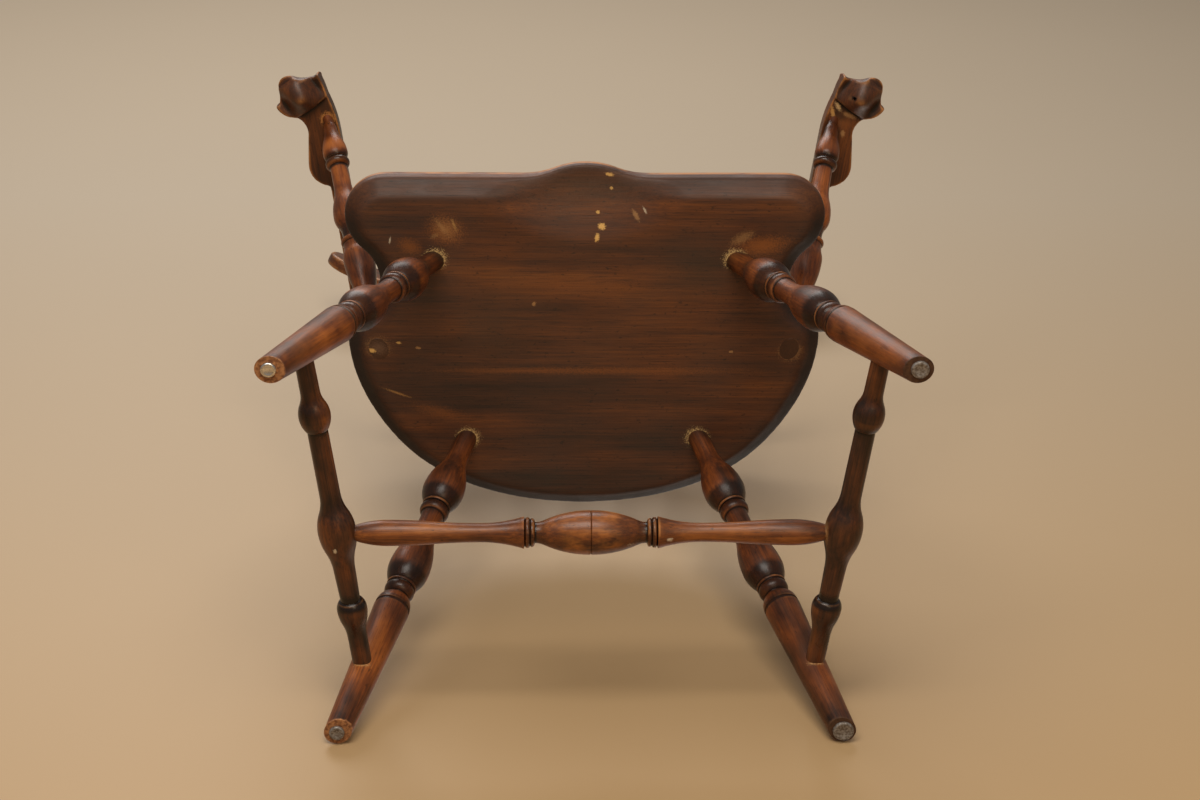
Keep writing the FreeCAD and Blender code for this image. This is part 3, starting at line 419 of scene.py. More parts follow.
def trail(points):
    """Draws the one point out to a chain."""
    bpy.ops.transform.translate(value=points[0])
    for before, after in zip(points, points[1:]):
        bpy.ops.mesh.extrude_vertices_move(TRANSFORM_OT_translate={"value": Vector(after) - Vector(before)})


def store(piece, name, kind, values):
    """Writes one value for each vertex as an attribute of the piece."""
    layer = piece.data.attributes.new(name, kind, "POINT")
    layer.data.foreach_set("vector" if kind == "FLOAT_VECTOR" else "value", np.asarray(values, "f").ravel())


def vertices_of(piece):
    """The places of a piece's vertices, one row each."""
    spots = np.empty(len(piece.data.vertices) * 3, "f")
    piece.data.vertices.foreach_get("co", spots)
    return spots.reshape(-1, 3)


def altered(piece, name, change):
    """Runs the values of an attribute through a function."""
    layer = piece.data.attributes[name]
    part, size = ("vector", 3) if layer.data_type == "FLOAT_VECTOR" else ("value", 1)
    values = np.empty(len(piece.data.vertices) * size, "f")
    layer.data.foreach_get(part, values)
    layer.data.foreach_set(part, change(values))


RING_GAP, WINDOW, WEAR_FADE = 4, 45, 8


def turned(name, points, seed, steps=48, wear=()):
    """A piece turned about Z from an outline in millimetres, with its grain and relief stored.

    Relief is how far a spot stands proud of a wide stretch round it, and edge the same over a narrow one.
    Wear lists stretches with a relief of their own: below zero where stain lies thick, above where hands rub.
    """
    rings = []
    for (at, radius), (next_at, next_radius) in zip(points, points[1:]):
        count = max(1, math.ceil(abs(next_at - at) / RING_GAP))
        rings += [(at + (next_at - at) * k / count, radius + (next_radius - radius) * k / count)
                  for k in range(count)]
    rings = [(points[0][0], 0)] + rings + [points[-1], (points[-1][0], 0)]
    piece = start_point(name)
    trail([(radius * MM, 0, at * MM) for at, radius in rings])
    bpy.ops.mesh.select_all(action="SELECT")
    bpy.ops.mesh.spin(steps=steps, angle=math.tau, center=(0, 0, 0), axis=(0, 0, 1))
    bpy.ops.mesh.select_all(action="SELECT")
    bpy.ops.mesh.remove_doubles(threshold=1e-6)
    bpy.ops.mesh.normals_make_consistent(inside=False)
    bpy.ops.object.mode_set(mode="OBJECT")
    at, radius = np.array(points).T
    run = np.arange(at[0], at[-1], 0.5)
    drawn = np.interp(run, at, radius)
    spots = vertices_of(piece)
    for measured, reach in (("relief", 14.0), ("edge", 2.2)):
        window = np.exp(-0.5 * (np.arange(-WINDOW, WINDOW + 1) / reach) ** 2)
        mean = np.convolve(np.pad(drawn, WINDOW, "edge"), window / window.sum(), "valid")
        proud = drawn - mean
        if measured == "relief":
            proud = np.maximum(proud, -0.9)
            for low_end, high_end, relief in wear:
                inside = np.clip(np.minimum(run - low_end, high_end - run) / WEAR_FADE + 0.5, 0, 1)
                proud += (relief - proud) * inside
        store(piece, measured, "FLOAT", np.interp(spots[:, 2] / MM, run, proud))
    store(piece, "grain", "FLOAT_VECTOR", spots + np.array([seed * 0.37, seed * 0.21, seed * 0.53]))
    return piece


def stand(piece, start, toward):
    """Lays a turned piece along a line and fixes its place in its mesh."""
    aim = (toward - start).to_track_quat("Z", "Y").to_matrix().to_4x4()
    piece.matrix_world = Matrix.Translation(start) @ aim
    only(piece)
    bpy.ops.object.transform_apply(location=True, rotation=True, scale=True)


def twin(piece, name):
    """A copy with a mesh of its own."""
    only(piece)
    bpy.ops.object.duplicate(linked=False)
    copy = bpy.context.object
    copy.name = copy.data.name = name
    return copy


def trimmed(piece, spot, normal):
    """Saws off what lies beyond a plane and closes the end."""
    only(piece)
    bpy.ops.object.mode_set(mode="EDIT")
    bpy.ops.mesh.select_all(action="SELECT")
    bpy.ops.mesh.bisect(plane_co=spot, plane_no=normal, use_fill=True, clear_outer=True)
    bpy.ops.object.mode_set(mode="OBJECT")


def finished(piece, finish, slot, *nodes, angle=38):
    """Shades a piece, gives it its finish, and hands it to the frame in place of its CAD nodes."""
    only(piece)
    bpy.ops.object.shade_smooth_by_angle(angle=math.radians(angle))
    piece.data.materials.clear()
    piece.data.materials.append(finish)
    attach(piece, "root")
    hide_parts(*nodes)
    print(piece.name, len(piece.data.polygons), "faces")


# %% [markdown]
# The four legs are alike: a plain neck in the seat, a round-ended vase, a thin bead and a fuller one, a longer
# vase, a thin bead and a reel, and a tapered foot below a groove. One is turned and the others are copies. Each is
# sawn level at the floor glide and follows the saddled seat at its top, where the end stands a hair proud, as old
# tenons do.

# %% Legs
LEG = [
    ("line", 26, 22.5), ("ogee", 84, 44.5), ("away", 106.5, 29), ("line", 107, 27.5), ("bead", 111, 31.2),
    ("line", 111.5, 27.5), ("bead", 122, 31.6), ("line", 123, 24), ("ogee", 134, 23), ("line", 138, 23),
    ("ogee", 206, 43.5), ("away", 229, 29), ("line", 229.5, 27.5), ("bead", 233, 31.6), ("line", 233.5, 28),
    ("into", 238, 31.5), ("away", 246, 22.5), ("line", 247, 22), ("line", 247.6, 25.5), ("into", 262, 37),
    ("line", 262.8, 35.2), ("line", 265.4, 35.2), ("line", 266.2, 37.5),
]
LEG_SPOTS = {
    "leg_front_left": ((-162, -111), (-298, -174)), "leg_front_right": ((162, -111), (298, -174)),
    "leg_rear_left": ((-129, 101), (-248, 218)), "leg_rear_right": ((127, 101), (248, 218)),
}


# The saddle is cut by a stretched ball: where its middle lies, and its half sizes
SADDLE_Y, SADDLE_Z = -42, 499
SADDLE_OUT, SADDLE_LONG, SADDLE_DEEP = 330, 240, 70
PROUD = 0.3


def saddle_top(x, y):
    """Height of the saddled seat, in the drawing's millimetres."""
    reach = 1 - (x / SADDLE_OUT) ** 2 - ((y - SADDLE_Y) / SADDLE_LONG) ** 2
    return min(SEAT_HIGH, SADDLE_Z - SADDLE_DEEP * math.sqrt(max(reach, 0)))


def saddle_normal(x, y):
    """The direction that the saddled seat faces."""
    slope_x = saddle_top(x + 1, y) - saddle_top(x - 1, y)
    slope_y = saddle_top(x, y + 1) - saddle_top(x, y - 1)
    return Vector((-slope_x / 2, -slope_y / 2, 1)).normalized()


def leg_marks(tree, colour, dull):
    """Bare feet, dirty on the right side, crumbs of glue, and darker up the neck towards the seat."""
    spot = own_place(tree)
    edge = added(tree, axis_of(tree, spot, "Z"), times(tree, noise(tree, spot, 260, 4), -0.005))
    bare = ranged(tree, edge, 0.0028, 0.0012)
    # Darker towards the top, where the neck goes into the seat
    colour = tinted(tree, ranged(tree, edge, 0.372, 0.4, 0.0, 0.7), colour, DEEP)
    mixed = ranged(tree, noise(tree, spot, 300, 6), 0.36, 0.66)
    end_grain = tinted(tree, mixed, (0.15, 0.055, 0.022, 1), (0.42, 0.19, 0.075, 1))
    right_side = ranged(tree, axis_of(tree, spot, "X"), -0.05, 0.05, 0.0, 0.86)
    end_grain = tinted(tree, right_side, end_grain, (0.034, 0.016, 0.009, 1))
    colour = tinted(tree, bare, colour, end_grain)
    crumbs = [((side * 226, 179, 71), (10, 9, 4), 0, (0.45, 0.25, 0.1), 0.9, 0.5) for side in (-1, 1)]
    colour = laid_marks(tree, colour, crumbs)
    return colour, added(tree, dull, times(tree, bare, 0.3))


leg_finish = stained_wood("stained_leg", 0.035, leg_marks, 0.42, shine=0.29, blush=0.4)
top, foot = LEG_SPOTS["leg_front_left"]
# The turning is made longer than the leg at both ends, and then sawn
leg_length = (place(*top, SEAT_LOW) - place(*foot, 0)).length / MM + 14
leg_points = turning_outline((-58, 22.5), LEG + [("line", leg_length, 25.5)])
first_leg = turned("turned_leg", leg_points, 1, wear=[
    (90, 107, -1.6), (107, 123, -1.4), (212, 230, -1.6), (230, 250, -1.4), (258, 266, -1.6), (276, 420, 1.3)])
FOOT_SAWN, TENON_RISE = 3, 33
leg_ends = []
for number, (name, (top, foot)) in enumerate(LEG_SPOTS.items(), 1):
    leg = twin(first_leg, "turned_" + name)
    altered(leg, "grain", lambda values: values + 0.173 * number)
    if "rear" in name:
        # Feet rub the front legs, so the rear ones keep more of their stain
        altered(leg, "relief", lambda values: np.minimum(values, 0.6))
    stand(leg, place(*top, SEAT_LOW), place(*foot, 0))
    trimmed(leg, place(0, 0, FOOT_SAWN), (0, 0, -1))
    # The end in the seat, a hair above the saddle
    end_x, end_y = (high + (high - low) / SEAT_LOW * TENON_RISE for high, low in zip(top, foot))
    leg_ends.append((place(end_x, end_y, saddle_top(end_x, end_y) + PROUD), saddle_normal(end_x, end_y)))
    trimmed(leg, *leg_ends[-1])
    finished(leg, leg_finish, "leg_wood", name)
bpy.data.objects.remove(first_leg)

# %% [markdown]
# The H stretcher: two side stretchers between front and rear legs, each with a vase near either end and a swelling
# where the centre stretcher enters, and a centre stretcher with a bulb between pairs of beads.

# %% Stretchers
SIDE = [
    ("line", 46, 19), ("ogee", 71, 31), ("away", 86, 22.5), ("line", 87, 20), ("line", 158, 20.5),
    ("ogee", 198, 37.5), ("ogee", 242, 21.5), ("line", 277, 19.5), ("line", 278, 24), ("into", 287, 30),
    ("ogee", 318, 19.5),
]
CENTRE_HALF = [
    ("line", 17, 15.5), ("into", 48, 25.5), ("ogee", 139, 18.5), ("away", 181, 31.5), ("line", 182, 25.5),
    ("bead", 187, 30), ("bead", 191, 28), ("line", 192, 20.5), ("away", 200, 23.7),
]


FRONT_HOLE, REAR_HOLE, CROSSING = 73, 79, 0.556


def on_leg(leg, height):
    """A point of a leg's middle line at a height above the floor."""
    top, foot = LEG_SPOTS[leg]
    share = height / SEAT_LOW
    return place(foot[0] + (top[0] - foot[0]) * share, foot[1] + (top[1] - foot[1]) * share, height)


def stretcher_marks(tree, colour, dull):
    """Three small pale ticks and a ring of old glue."""
    rows = [
        ((35.3, 41, 66.5), (7, 3.4, 5), 15, PALE, 0.95, 0.5),
        ((76.5, 37.5, 62.8), (3.5, 2.4, 4), 0, PALE, 0.8, 0.5),
        ((-248, 47.5, 60.2), (2, 2.8, 5), 0, PALE, 0.95, 0.4),
        ((229.5, 35, 76), (2, 14, 14), 0, TAN, 0.7, 0.5),
    ]
    return laid_marks(tree, colour, rows), dull


stretcher_finish = stained_wood("stained_stretcher", -0.02, stretcher_marks)
# The centre stretcher's warmer stain is partly wear from feet and partly a painted highlight on its bulb
centre_finish = stained_wood("stained_centre", 0.065, stretcher_marks)
crossing = {}
for number, side in enumerate(("left", "right"), 1):
    front, rear = on_leg("leg_front_" + side, FRONT_HOLE), on_leg("leg_rear_" + side, REAR_HOLE)
    length = (rear - front).length / MM
    points = turning_outline((-4, 18), SIDE + [("line", length + 4, 19)])
    stretcher = turned("turned_side_stretcher_" + side, points, 7 + number, wear=[
        (30, 72, -0.8), (270, 286, -2.2), (288, 330, -0.8)])
    stand(stretcher, front, rear)
    finished(stretcher, stretcher_finish, "stretcher_wood", "side_stretcher_" + side)
    crossing[side] = front + (rear - front) * CROSSING
length = (crossing["right"] - crossing["left"]).length / MM
half = turning_outline((6, 15.5), CENTRE_HALF + [("into", length / 2 - 0.8, 43.5), ("line", length / 2, 42)])
# The bright rubbed middle of the bulb is partly wear and partly a painted highlight
stretcher = turned(
    "turned_centre_stretcher", mirrored(half, length), 10, wear=[
        (182, 192, -1.5), (length - 192, length - 182, -1.5), (length / 2 - 28, length / 2 + 28, 3.0)])
stand(stretcher, crossing["left"], crossing["right"])
finished(stretcher, centre_finish, "stretcher_wood", "centre_stretcher")

# %% [markdown]
# The arm posts lean far forward. Each has a tulip under the arm, a plain shaft, a vase with two beads and a long
# taper to the seat, which it goes through. Below the seat its end shows as a plug.

# %% Arm posts
POST = [
    ("line", 10, 15), ("ogee", 47, 28), ("away", 54, 23), ("line", 55, 24), ("line", 56, 22),
    ("bead", 65, 27.5), ("line", 66, 19), ("line", 90, 20), ("ogee", 134, 35), ("ogee", 156, 24),
    ("line", 162, 23.5), ("away", 165, 28.5), ("bead", 170, 31), ("line", 171, 27), ("line", 172, 27.5),
    ("ogee", 192, 34.5), ("ogee", 256, 20),
]


def post_marks(tree, colour, dull):
    """The end below the seat is sawn across the grain and has soaked up stain and dirt."""
    height = axis_of(tree, own_place(tree), "Z")
    colour = tinted(tree, ranged(tree, height, 0.408, 0.406, 0.0, 0.85), colour, (0.045, 0.022, 0.0125, 1))
    rows = [((-222, -10, 405), (13, 10, 5), 20, (0.15, 0.08, 0.048), 0.7, 0.8),
            ((-229, -7, 405), (5, 3, 5), 10, CHIP, 0.95, 0.4)]
    return laid_marks(tree, colour, rows), dull


post_ends = []
for number, (side, sign) in enumerate((("left", -1), ("right", 1)), 1):
    top, foot = place(sign * POST_X, POST_Y, ARM_LOW), place(sign * 221.5, -9, SEAT_LOW)
    length = (foot - top).length / MM
    points = turning_outline((-45, 12), [("line", 5, 12)] + POST + [("line", length + 20, 20)])
    # The left post is rubbed brighter than the right one
    warmth, rubbed = (0.06, 2.4) if sign < 0 else (0.015, 0.8)
    post_finish = stained_wood("stained_post_" + side, warmth, post_marks, blush=0.5)
    post = turned("turned_arm_post_" + side, points, 12 + number, wear=[
        (4, 28, -0.8), (34, 48, rubbed), (50, 66, -1.7), (68, 92, rubbed), (150, 164, -1.6), (166, 171, -1.1)])
    stand(post, top, foot)
    post_ends.append(top + (top - foot) * ((ARM_HIGH - ARM_LOW + PROUD) / (ARM_LOW - SEAT_LOW)))
    trimmed(post, post_ends[-1], (0, 0, 1))
    trimmed(post, place(0, 0, SEAT_LOW - PROUD), (0, 0, -1))
    finished(post, post_finish, "post_wood", "arm_post_" + side)

# %% [markdown]
# The bow's middle line, which the spindles and the arms follow: a wide arc behind, a tight corner at either side
# and a straight run forward that spreads a little.

# %% Middle line of the bow
SLANT = math.radians(8)
BOW_BACK, BOW_CORNER = 178, 100
# Where the corner ends and the straight run to the post starts
BOW_TURN = (POST_X - 238 * math.tan(SLANT), 60)


def bow_line(step=2.0):
    """The right half of the bow's middle line from the middle of the back: x, y and distance along."""
    corner_x, corner_y = BOW_TURN[0] - BOW_CORNER * math.cos(SLANT), BOW_TURN[1] - BOW_CORNER * math.sin(SLANT)
    fall = corner_y - BOW_BACK
    rear = (BOW_CORNER * BOW_CORNER - corner_x * corner_x - fall * fall) / ((fall + BOW_CORNER) * 2)
    rear_turn = math.atan2(corner_x, fall + rear)
    corner_turn = math.pi / 2 - SLANT - rear_turn
    rear_run, corner_run = rear * rear_turn, BOW_CORNER * corner_turn
    points, run = [], 0.0
    while run < rear_run + corner_run + 300:
        if run < rear_run:
            angle = run / rear
            x, y = rear * math.sin(angle), BOW_BACK - rear + rear * math.cos(angle)
        elif run < rear_run + corner_run:
            angle = rear_turn + (run - rear_run) / BOW_CORNER
            x, y = corner_x + BOW_CORNER * math.sin(angle), corner_y + BOW_CORNER * math.cos(angle)
        else:
            on = run - rear_run - corner_run
            x, y = BOW_TURN[0] + on * math.sin(SLANT), BOW_TURN[1] - on * math.cos(SLANT)
        points.append((x, y, run))
        run += step
    return points


BOW = bow_line()


def bow_spot(run):
    """The bow's middle a distance along from the back, as x and y of the drawing."""
    xs, ys, runs = zip(*BOW)
    x, y = np.interp(abs(run), runs, xs), np.interp(abs(run), runs, ys)
    return (x if run > 0 else -x), y


print("the bow is", round(2 * BOW[-1][2]), "mm long with spare")

# %% [markdown]
# Eleven spindles: seven long ones pass through the bow up to the comb, swelling a little above the seat, and
# two short ones stand under each arm. They were shaved by hand, so each gets its own piece of wood.

# %% Spindles
COMB_LEAN, COMB_BEND = math.radians(10), 720
COMB_Y, COMB_Z = 248, 1045
ARM_MIDDLE = (ARM_LOW + ARM_HIGH) / 2


def comb_spot(along, raised, behind):
    """A point of the comb: along its bend, above its bottom edge and behind its middle."""
    angle, reach = along / COMB_BEND, COMB_BEND + behind
    y = reach * math.cos(angle) - COMB_BEND
    high = raised * math.cos(COMB_LEAN) - y * math.sin(COMB_LEAN)
    back = y * math.cos(COMB_LEAN) + raised * math.sin(COMB_LEAN)
    return Vector((reach * math.sin(angle), COMB_Y + back, COMB_Z + high))


spindle_finish = stained_wood("stained_spindle", 0.05)
for number in range(1, 8):
    step = number - 4
    bow_x, bow_y = bow_spot(step * 62.5)
    on_bow = Vector((bow_x, bow_y, ARM_MIDDLE))
    on_comb = comb_spot(step * 88, 0, 0)
    slope = (on_comb - on_bow) / (on_comb.z - ARM_MIDDLE)
    on_seat = on_bow - slope * (ARM_MIDDLE - SEAT_HIGH)
    length, to_bow = (on_comb - on_seat).length, (on_bow - on_seat).length
    points = turning_outline((-20, 11), [
        ("line", 0, 11), ("ogee", 95, 15), ("ogee", to_bow - 20, 11), ("line", to_bow + 20, 11),
        ("line", length, 9.5), ("line", length + 14, 9.5)])
    spindle = turned("shaved_back_spindle_%d" % number, points, 20 + number, 28)
    stand(spindle, place(*on_seat), place(*on_comb))
    finished(spindle, spindle_finish, "spindle_wood", "back_spindle_%d" % number)
for side, sign in (("left", -1), ("right", 1)):
    for number, (out, back_y) in enumerate(((186, 72), (216, 22)), 1):
        bow_x, bow_y = bow_spot(sign * (187.5 + 71 * number))
        on_seat, on_bow = Vector((sign * out, back_y, SEAT_HIGH)), Vector((bow_x, bow_y, ARM_LOW))
        length = (on_bow - on_seat).length
        points = turning_outline((-20, 11), [
            ("line", 0, 11), ("ogee", length * 0.42, 15), ("ogee", length - 10, 10), ("line", length + 11, 10)])
        spindle = turned("shaved_arm_spindle_%s_%d" % (side, number), points, 30 + number * sign, 28)
        stand(spindle, place(*on_seat), place(*on_bow))
        finished(spindle, spindle_finish, "spindle_wood", "arm_spindle_%s_%d" % (side, number))

# %% [markdown]
# The seat is one thick plank, sawn to a shield shape with a point at the front, bevelled wide below so that it
# looks thin, hollowed on top for the sitter and under the front point by hand. The outline is drawn and filled,
# pulled down to its thickness, and the bevel and the round are insets that also move the face. A stretched ball
# cuts the saddle, a remesh and smoothing take off the saw's edge, and the hollow below is pressed up to the shape
# of another ball.

# %% Seat
def loop_solid(name, points, top, height):
    """A plank sawn to a closed outline in the drawing's millimetres, left in edit mode."""
    piece = start_point(name)
    trail([place(x, y, top) for x, y in points])
    bpy.ops.mesh.select_all(action="SELECT")
    bpy.ops.mesh.edge_face_add()
    bpy.ops.mesh.extrude_region_move(TRANSFORM_OT_translate={"value": (0, 0, -height * MM)})
    bpy.ops.mesh.select_all(action="SELECT")
    bpy.ops.mesh.normals_make_consistent(inside=False)
    return piece


def pick_faces(piece, axis, way):
    """Selects, in edit mode, the faces of a piece that look one way along an axis."""
    bpy.ops.mesh.select_mode(type="FACE")
    bpy.ops.mesh.select_all(action="DESELECT")
    bpy.ops.object.mode_set(mode="OBJECT")
    for face in piece.data.polygons:
        face.select = face.normal[axis] * way > 0.9
    bpy.ops.object.mode_set(mode="EDIT")


def rounded_rim(piece, axis, way, radius, steps=3):
    """Rounds the rim of the flat face that looks one way along an axis, by insets on a quarter circle."""
    pick_faces(piece, axis, way)
    for step in range(steps):
        low, high = math.pi / 2 * step / steps, math.pi / 2 * (step + 1) / steps
        inward = radius * (math.cos(low) - math.cos(high))
        outward = radius * (math.sin(high) - math.sin(low))
        bpy.ops.mesh.inset(thickness=inward * MM, depth=outward * MM, use_even_offset=True)


def modified(piece, kind, **settings):
    """Adds a modifier with its settings and applies it."""
    only(piece)
    modifier = piece.modifiers.new(kind.lower(), kind)
    for name, value in settings.items():
        setattr(modifier, name, value)
    bpy.ops.object.modifier_apply(modifier=modifier.name)


def scoop(name, middle, sizes):
    """A stretched ball that cuts a hollow."""
    bpy.ops.object.select_all(action="DESELECT")
    bpy.ops.mesh.primitive_uv_sphere_add(segments=160, ring_count=120, radius=1, location=middle)
    ball = bpy.context.object
    ball.name = name
    ball.scale = [size * MM for size in sizes]
    bpy.ops.object.transform_apply(location=True, rotation=True, scale=True)
    return ball


def soft_max(first, second, blend):
    """The larger of two numbers, with the corner between them rounded off."""
    near = max(0.0, blend - abs(first - second))
    return max(first, second) + near * near / (4 * blend)


def rear_edge(turn):
    """A point of the seat's rear edge: nearly half an ellipse, a little flatter at the hips."""
    flatter = 2.5 * math.sin(4 * turn) ** 2 if turn < math.pi / 4 else 0
    reach = 230 + 25 * math.cos(2 * turn) - flatter
    return reach * math.cos(turn), HIP[1] + reach * math.sin(turn)


def with_mirror(half):
    """A closed outline from its right half, which starts and ends on the middle line."""
    return half + [(-x, y) for x, y in reversed(half[1:-1])]


# %% Sawing and hollowing the seat
POINT, CORNER, SIDE_END, WAIST, HIP = (0, -213.5), (211, -201), (255, -157), (219, -80), (255, -18)
RIM_TOP, RIM_DEEP, BEVEL_WIDE, RIM_ROUND = 434, 14, 18, 9
front_edge = ogee(POINT, (66, -200.5), 0) + [(140, -201), CORNER]
side_edge = arc_from(CORNER, SIDE_END, 0, 10) + ogee(SIDE_END, WAIST, 1) + ogee(WAIST, HIP, 1)
rear = [rear_edge(turn) for turn in np.linspace(0, math.pi / 2, 32)[1:]]
seat_outline = with_mirror([POINT] + front_edge + side_edge + rear)
seat = loop_solid("sawn_seat", seat_outline, RIM_TOP, RIM_DEEP)
pick_faces(seat, 2, -1)
bevel_deep = RIM_TOP - RIM_DEEP - SEAT_LOW
bpy.ops.mesh.inset(thickness=BEVEL_WIDE * MM, depth=bevel_deep * MM, use_even_offset=True)
rounded_rim(seat, 2, 1, RIM_ROUND)
bpy.ops.object.mode_set(mode="OBJECT")
saddle = scoop("saddle", place(0, SADDLE_Y, SADDLE_Z), (SADDLE_OUT, SADDLE_LONG, SADDLE_DEEP))
modified(seat, "BOOLEAN", operation="DIFFERENCE", solver="EXACT", object=saddle)
bpy.data.objects.remove(saddle)
modified(seat, "REMESH", mode="VOXEL", voxel_size=2.4 * MM)
modified(seat, "SMOOTH", factor=0.5, iterations=10)
# The hollow under the front point
for vertex in seat.data.vertices:
    x, y, z = vertex.co.x / MM, (vertex.co.y - DRAWING_BACK) / MM, vertex.co.z / MM
    reach = 1 - (x / 150) ** 2 - ((y + 213) / 100) ** 2
    if z < RIM_TOP + 2 and reach > 0:
        vertex.co.z = soft_max(z, 362 + 60 * math.sqrt(reach), 9) * MM
modified(seat, "SMOOTH", factor=0.5, iterations=4)
spots = vertices_of(seat)
store(seat, "grain", "FLOAT_VECTOR", np.stack([spots[:, 1], spots[:, 2], spots[:, 0]], 1) + 3.1)
print("seat", len(seat.data.polygons), "faces")

# %% [markdown]
# The seat's wear and painted shade. Its bevel below is painted nearly black as shade, less so at the front, which
# faces the light; its upper edge is rubbed by the sitter's legs, and the underside has chips, scuffs, dried glue
# round the legs, two lighter bands in the wood and patches of painted sheen. Bevel and edge go by how far a spot
# lies inside the outline; the rest are single ragged spots at places read from the photograph.

# %% Seat's wear and painted shade
def spaced(points, step):
    """Evenly spaced points along a closed outline."""
    closed = np.array(points + points[:1], float)
    run = np.concatenate([[0], np.cumsum(np.hypot(*np.diff(closed, axis=0).T))])
    at = np.arange(0, run[-1], step)
    return np.stack([np.interp(at, run, closed[:, 0]), np.interp(at, run, closed[:, 1])], 1)


def nearest(points):
    """A search tree over points of the drawing's plan."""
    tree = kdtree.KDTree(len(points))
    for index, (x, y) in enumerate(points):
        tree.insert(place(x, y, 0), index)
    tree.balance()
    return tree


rim_tree = nearest(spaced(seat_outline, 2))
rim = np.array([rim_tree.find((x, y, 0))[2] for x, y, _ in spots]) / MM
low = spots[:, 2] < 430 * MM
# Painted shade: the bevel below is darkened, less at the front, which faces the light, than at the sides and rear
forward = np.clip((-150 - (spots[:, 1] - DRAWING_BACK) / MM) / 40, 0, 1)
bevel_shade = np.clip((28 - rim) / 18, 0, 1) * (1 - 0.6 * forward)
store(seat, "relief", "FLOAT", np.where(low, -1.75 * bevel_shade, 2.2 * np.clip((15 - rim) / 10, 0, 1)))
store(seat, "edge", "FLOAT", np.where(low, 0, np.clip((8 - rim) / 16, 0, 1)))
print("dark bevel on", int((bevel_shade[low] > 0.5).sum()), "of", len(spots), "vertices")


# %% Marks and painted sheen under the seat
def seat_marks(tree, colour, dull):
    """The underside's tints, chips, glue and dust, the dust's grey partly a painted sheen, and patches of painted
    sheen. Rows without a third size reach as deep as their kind does.
    """
    broad = [
        ((-27, -84, 405), (125, 14), 0, ORANGE, 0.3, 1.1), ((60, 17.5, 405), (150, 6), 0, ORANGE, 0.4, 0.9),
        ((-70, 17, 405), (120, 5), 0, ORANGE, 0.34, 0.9), ((-157, 67, 405), (38, 9), 14, ORANGE, 0.4, 0.9),
        # The two haze patches on the next line are painted sheen of light on the varnish
        ((122, -101, 405), (60, 42), 0, PAINTED_SHEEN, 0.5, 1.2), ((-95, -40, 405), (70, 60), 0, PAINTED_SHEEN, 0.4, 1.3),
        ((-148, -147, 405), (24, 20), 30, ORANGE, 0.6, 0.9), ((187, -129, 405), (34, 13), -8, ORANGE, 0.7, 0.8),
        ((166, -138, 405), (16, 7), -30, TAN, 0.5, 0.7), ((-186, -128, 405), (16, 10), 20, ORANGE, 0.5, 0.8),
        # Painted sheen of light in the hollow under the front point
        ((0, -190, 414), (80, 34, 22), 0, (0.125, 0.085, 0.056), 0.42, 1.3),
        ((-147, -148, 405), (17, 14), 30, TAN, 0.42, 1.1), ((-152, -150, 405), (3.5, 15), -35, TAN, 0.5, 0.8),
        ((-139, -153, 405), (2, 9), -20, CHIP, 0.3, 0.8), ((-160, -140, 405), (6, 3), -30, TAN, 0.4, 0.8),
    ]
    chips = [
        ((17.2, -149.5, 410), (4.4, 3.6), 20, CHIP, 0.95, 0.25), ((12, -138, 408), (2.6, 5), 10, CHIP, 0.95, 0.25),
        ((12.8, -164, 414), (2.4, 2.2), 0, CHIP, 0.8, 0.3), ((27.2, -189, 420), (2.2, 1.8), 0, CHIP, 0.7, 0.3),
        ((24.9, -203.6, 424), (5, 2), 10, CHIP, 0.8, 0.3), ((62.3, -167.7, 409), (1.5, 4.5), -28, PALE, 0.55, 0.5),
        ((52.9, -162, 409), (3, 8), -32, TAN, 0.7, 0.6), ((-54.5, -61.8, 405), (2.2, 2.8), 0, TAN, 0.8, 0.3),
        ((158.6, -5.2, 405), (2.2, 1.8), 0, TAN, 0.8, 0.3), ((-179.3, -9.9, 405), (3.6, 1.6), 5, TAN, 0.8, 0.3),
        ((-200, -16, 405), (2.8, 1.6), 10, CHIP, 0.7, 0.3),
        ((-202.5, 44, 405), (18, 1.7), 21, (0.4, 0.2, 0.06), 0.6, 0.7),
        ((-206.6, -135.4, 405), (1.2, 5), 10, PALE, 0.6, 0.5), ((-222, -11, 405), (15.5, 13.5), 10, TAN, 0.36, 0.5),
        ((222.5, -6.4, 405), (13.5, 12.5), 0, TAN, 0.34, 0.3),
    ]
    rows = [(middle, (*sizes, 16)[:3], *rest) for middle, sizes, *rest in broad]
    rows += [(middle, (*sizes, 12), *rest) for middle, sizes, *rest in chips]
    # Dried glue on the front side of each leg
    for top, _ in LEG_SPOTS.values():
        inward = -2.5 if top[0] > 0 else 2.5
        rows.append(((top[0] + inward, top[1] - 2.6, SEAT_LOW), (12.9, 12.4, 12), 0, GLUE_TINT, 0.9, 0.4))
    height = measure(tree, "relief")
    dull = added(tree, dull, ranged(tree, height, -0.2, -1.2, 0.0, 0.4))
    # Years of dust and wax on the underside, with a painted grey sheen in it, less of both on the bevel
    spot = own_place(tree)
    below = ranged(tree, axis_of(tree, spot, "Z"), 0.43, 0.42)
    dust_and_sheen = times(tree, ranged(tree, noise(tree, spot, 9, 4), 0.3, 0.7, 0.18, 0.5), below)
    dust_and_sheen = times(tree, dust_and_sheen, ranged(tree, height, -0.3, -1.2, 1.0, 0.2))
    colour = tinted(tree, dust_and_sheen, colour, (0.031, 0.031, 0.028, 1))
    return laid_marks(tree, colour, rows), dull


seat_finish = stained_wood("stained_seat", 0.035, seat_marks, 0.42, (0.2, 12, 0.4), 0.19, 0.33)
finished(seat, seat_finish, "seat_wood", "seat", angle=60)

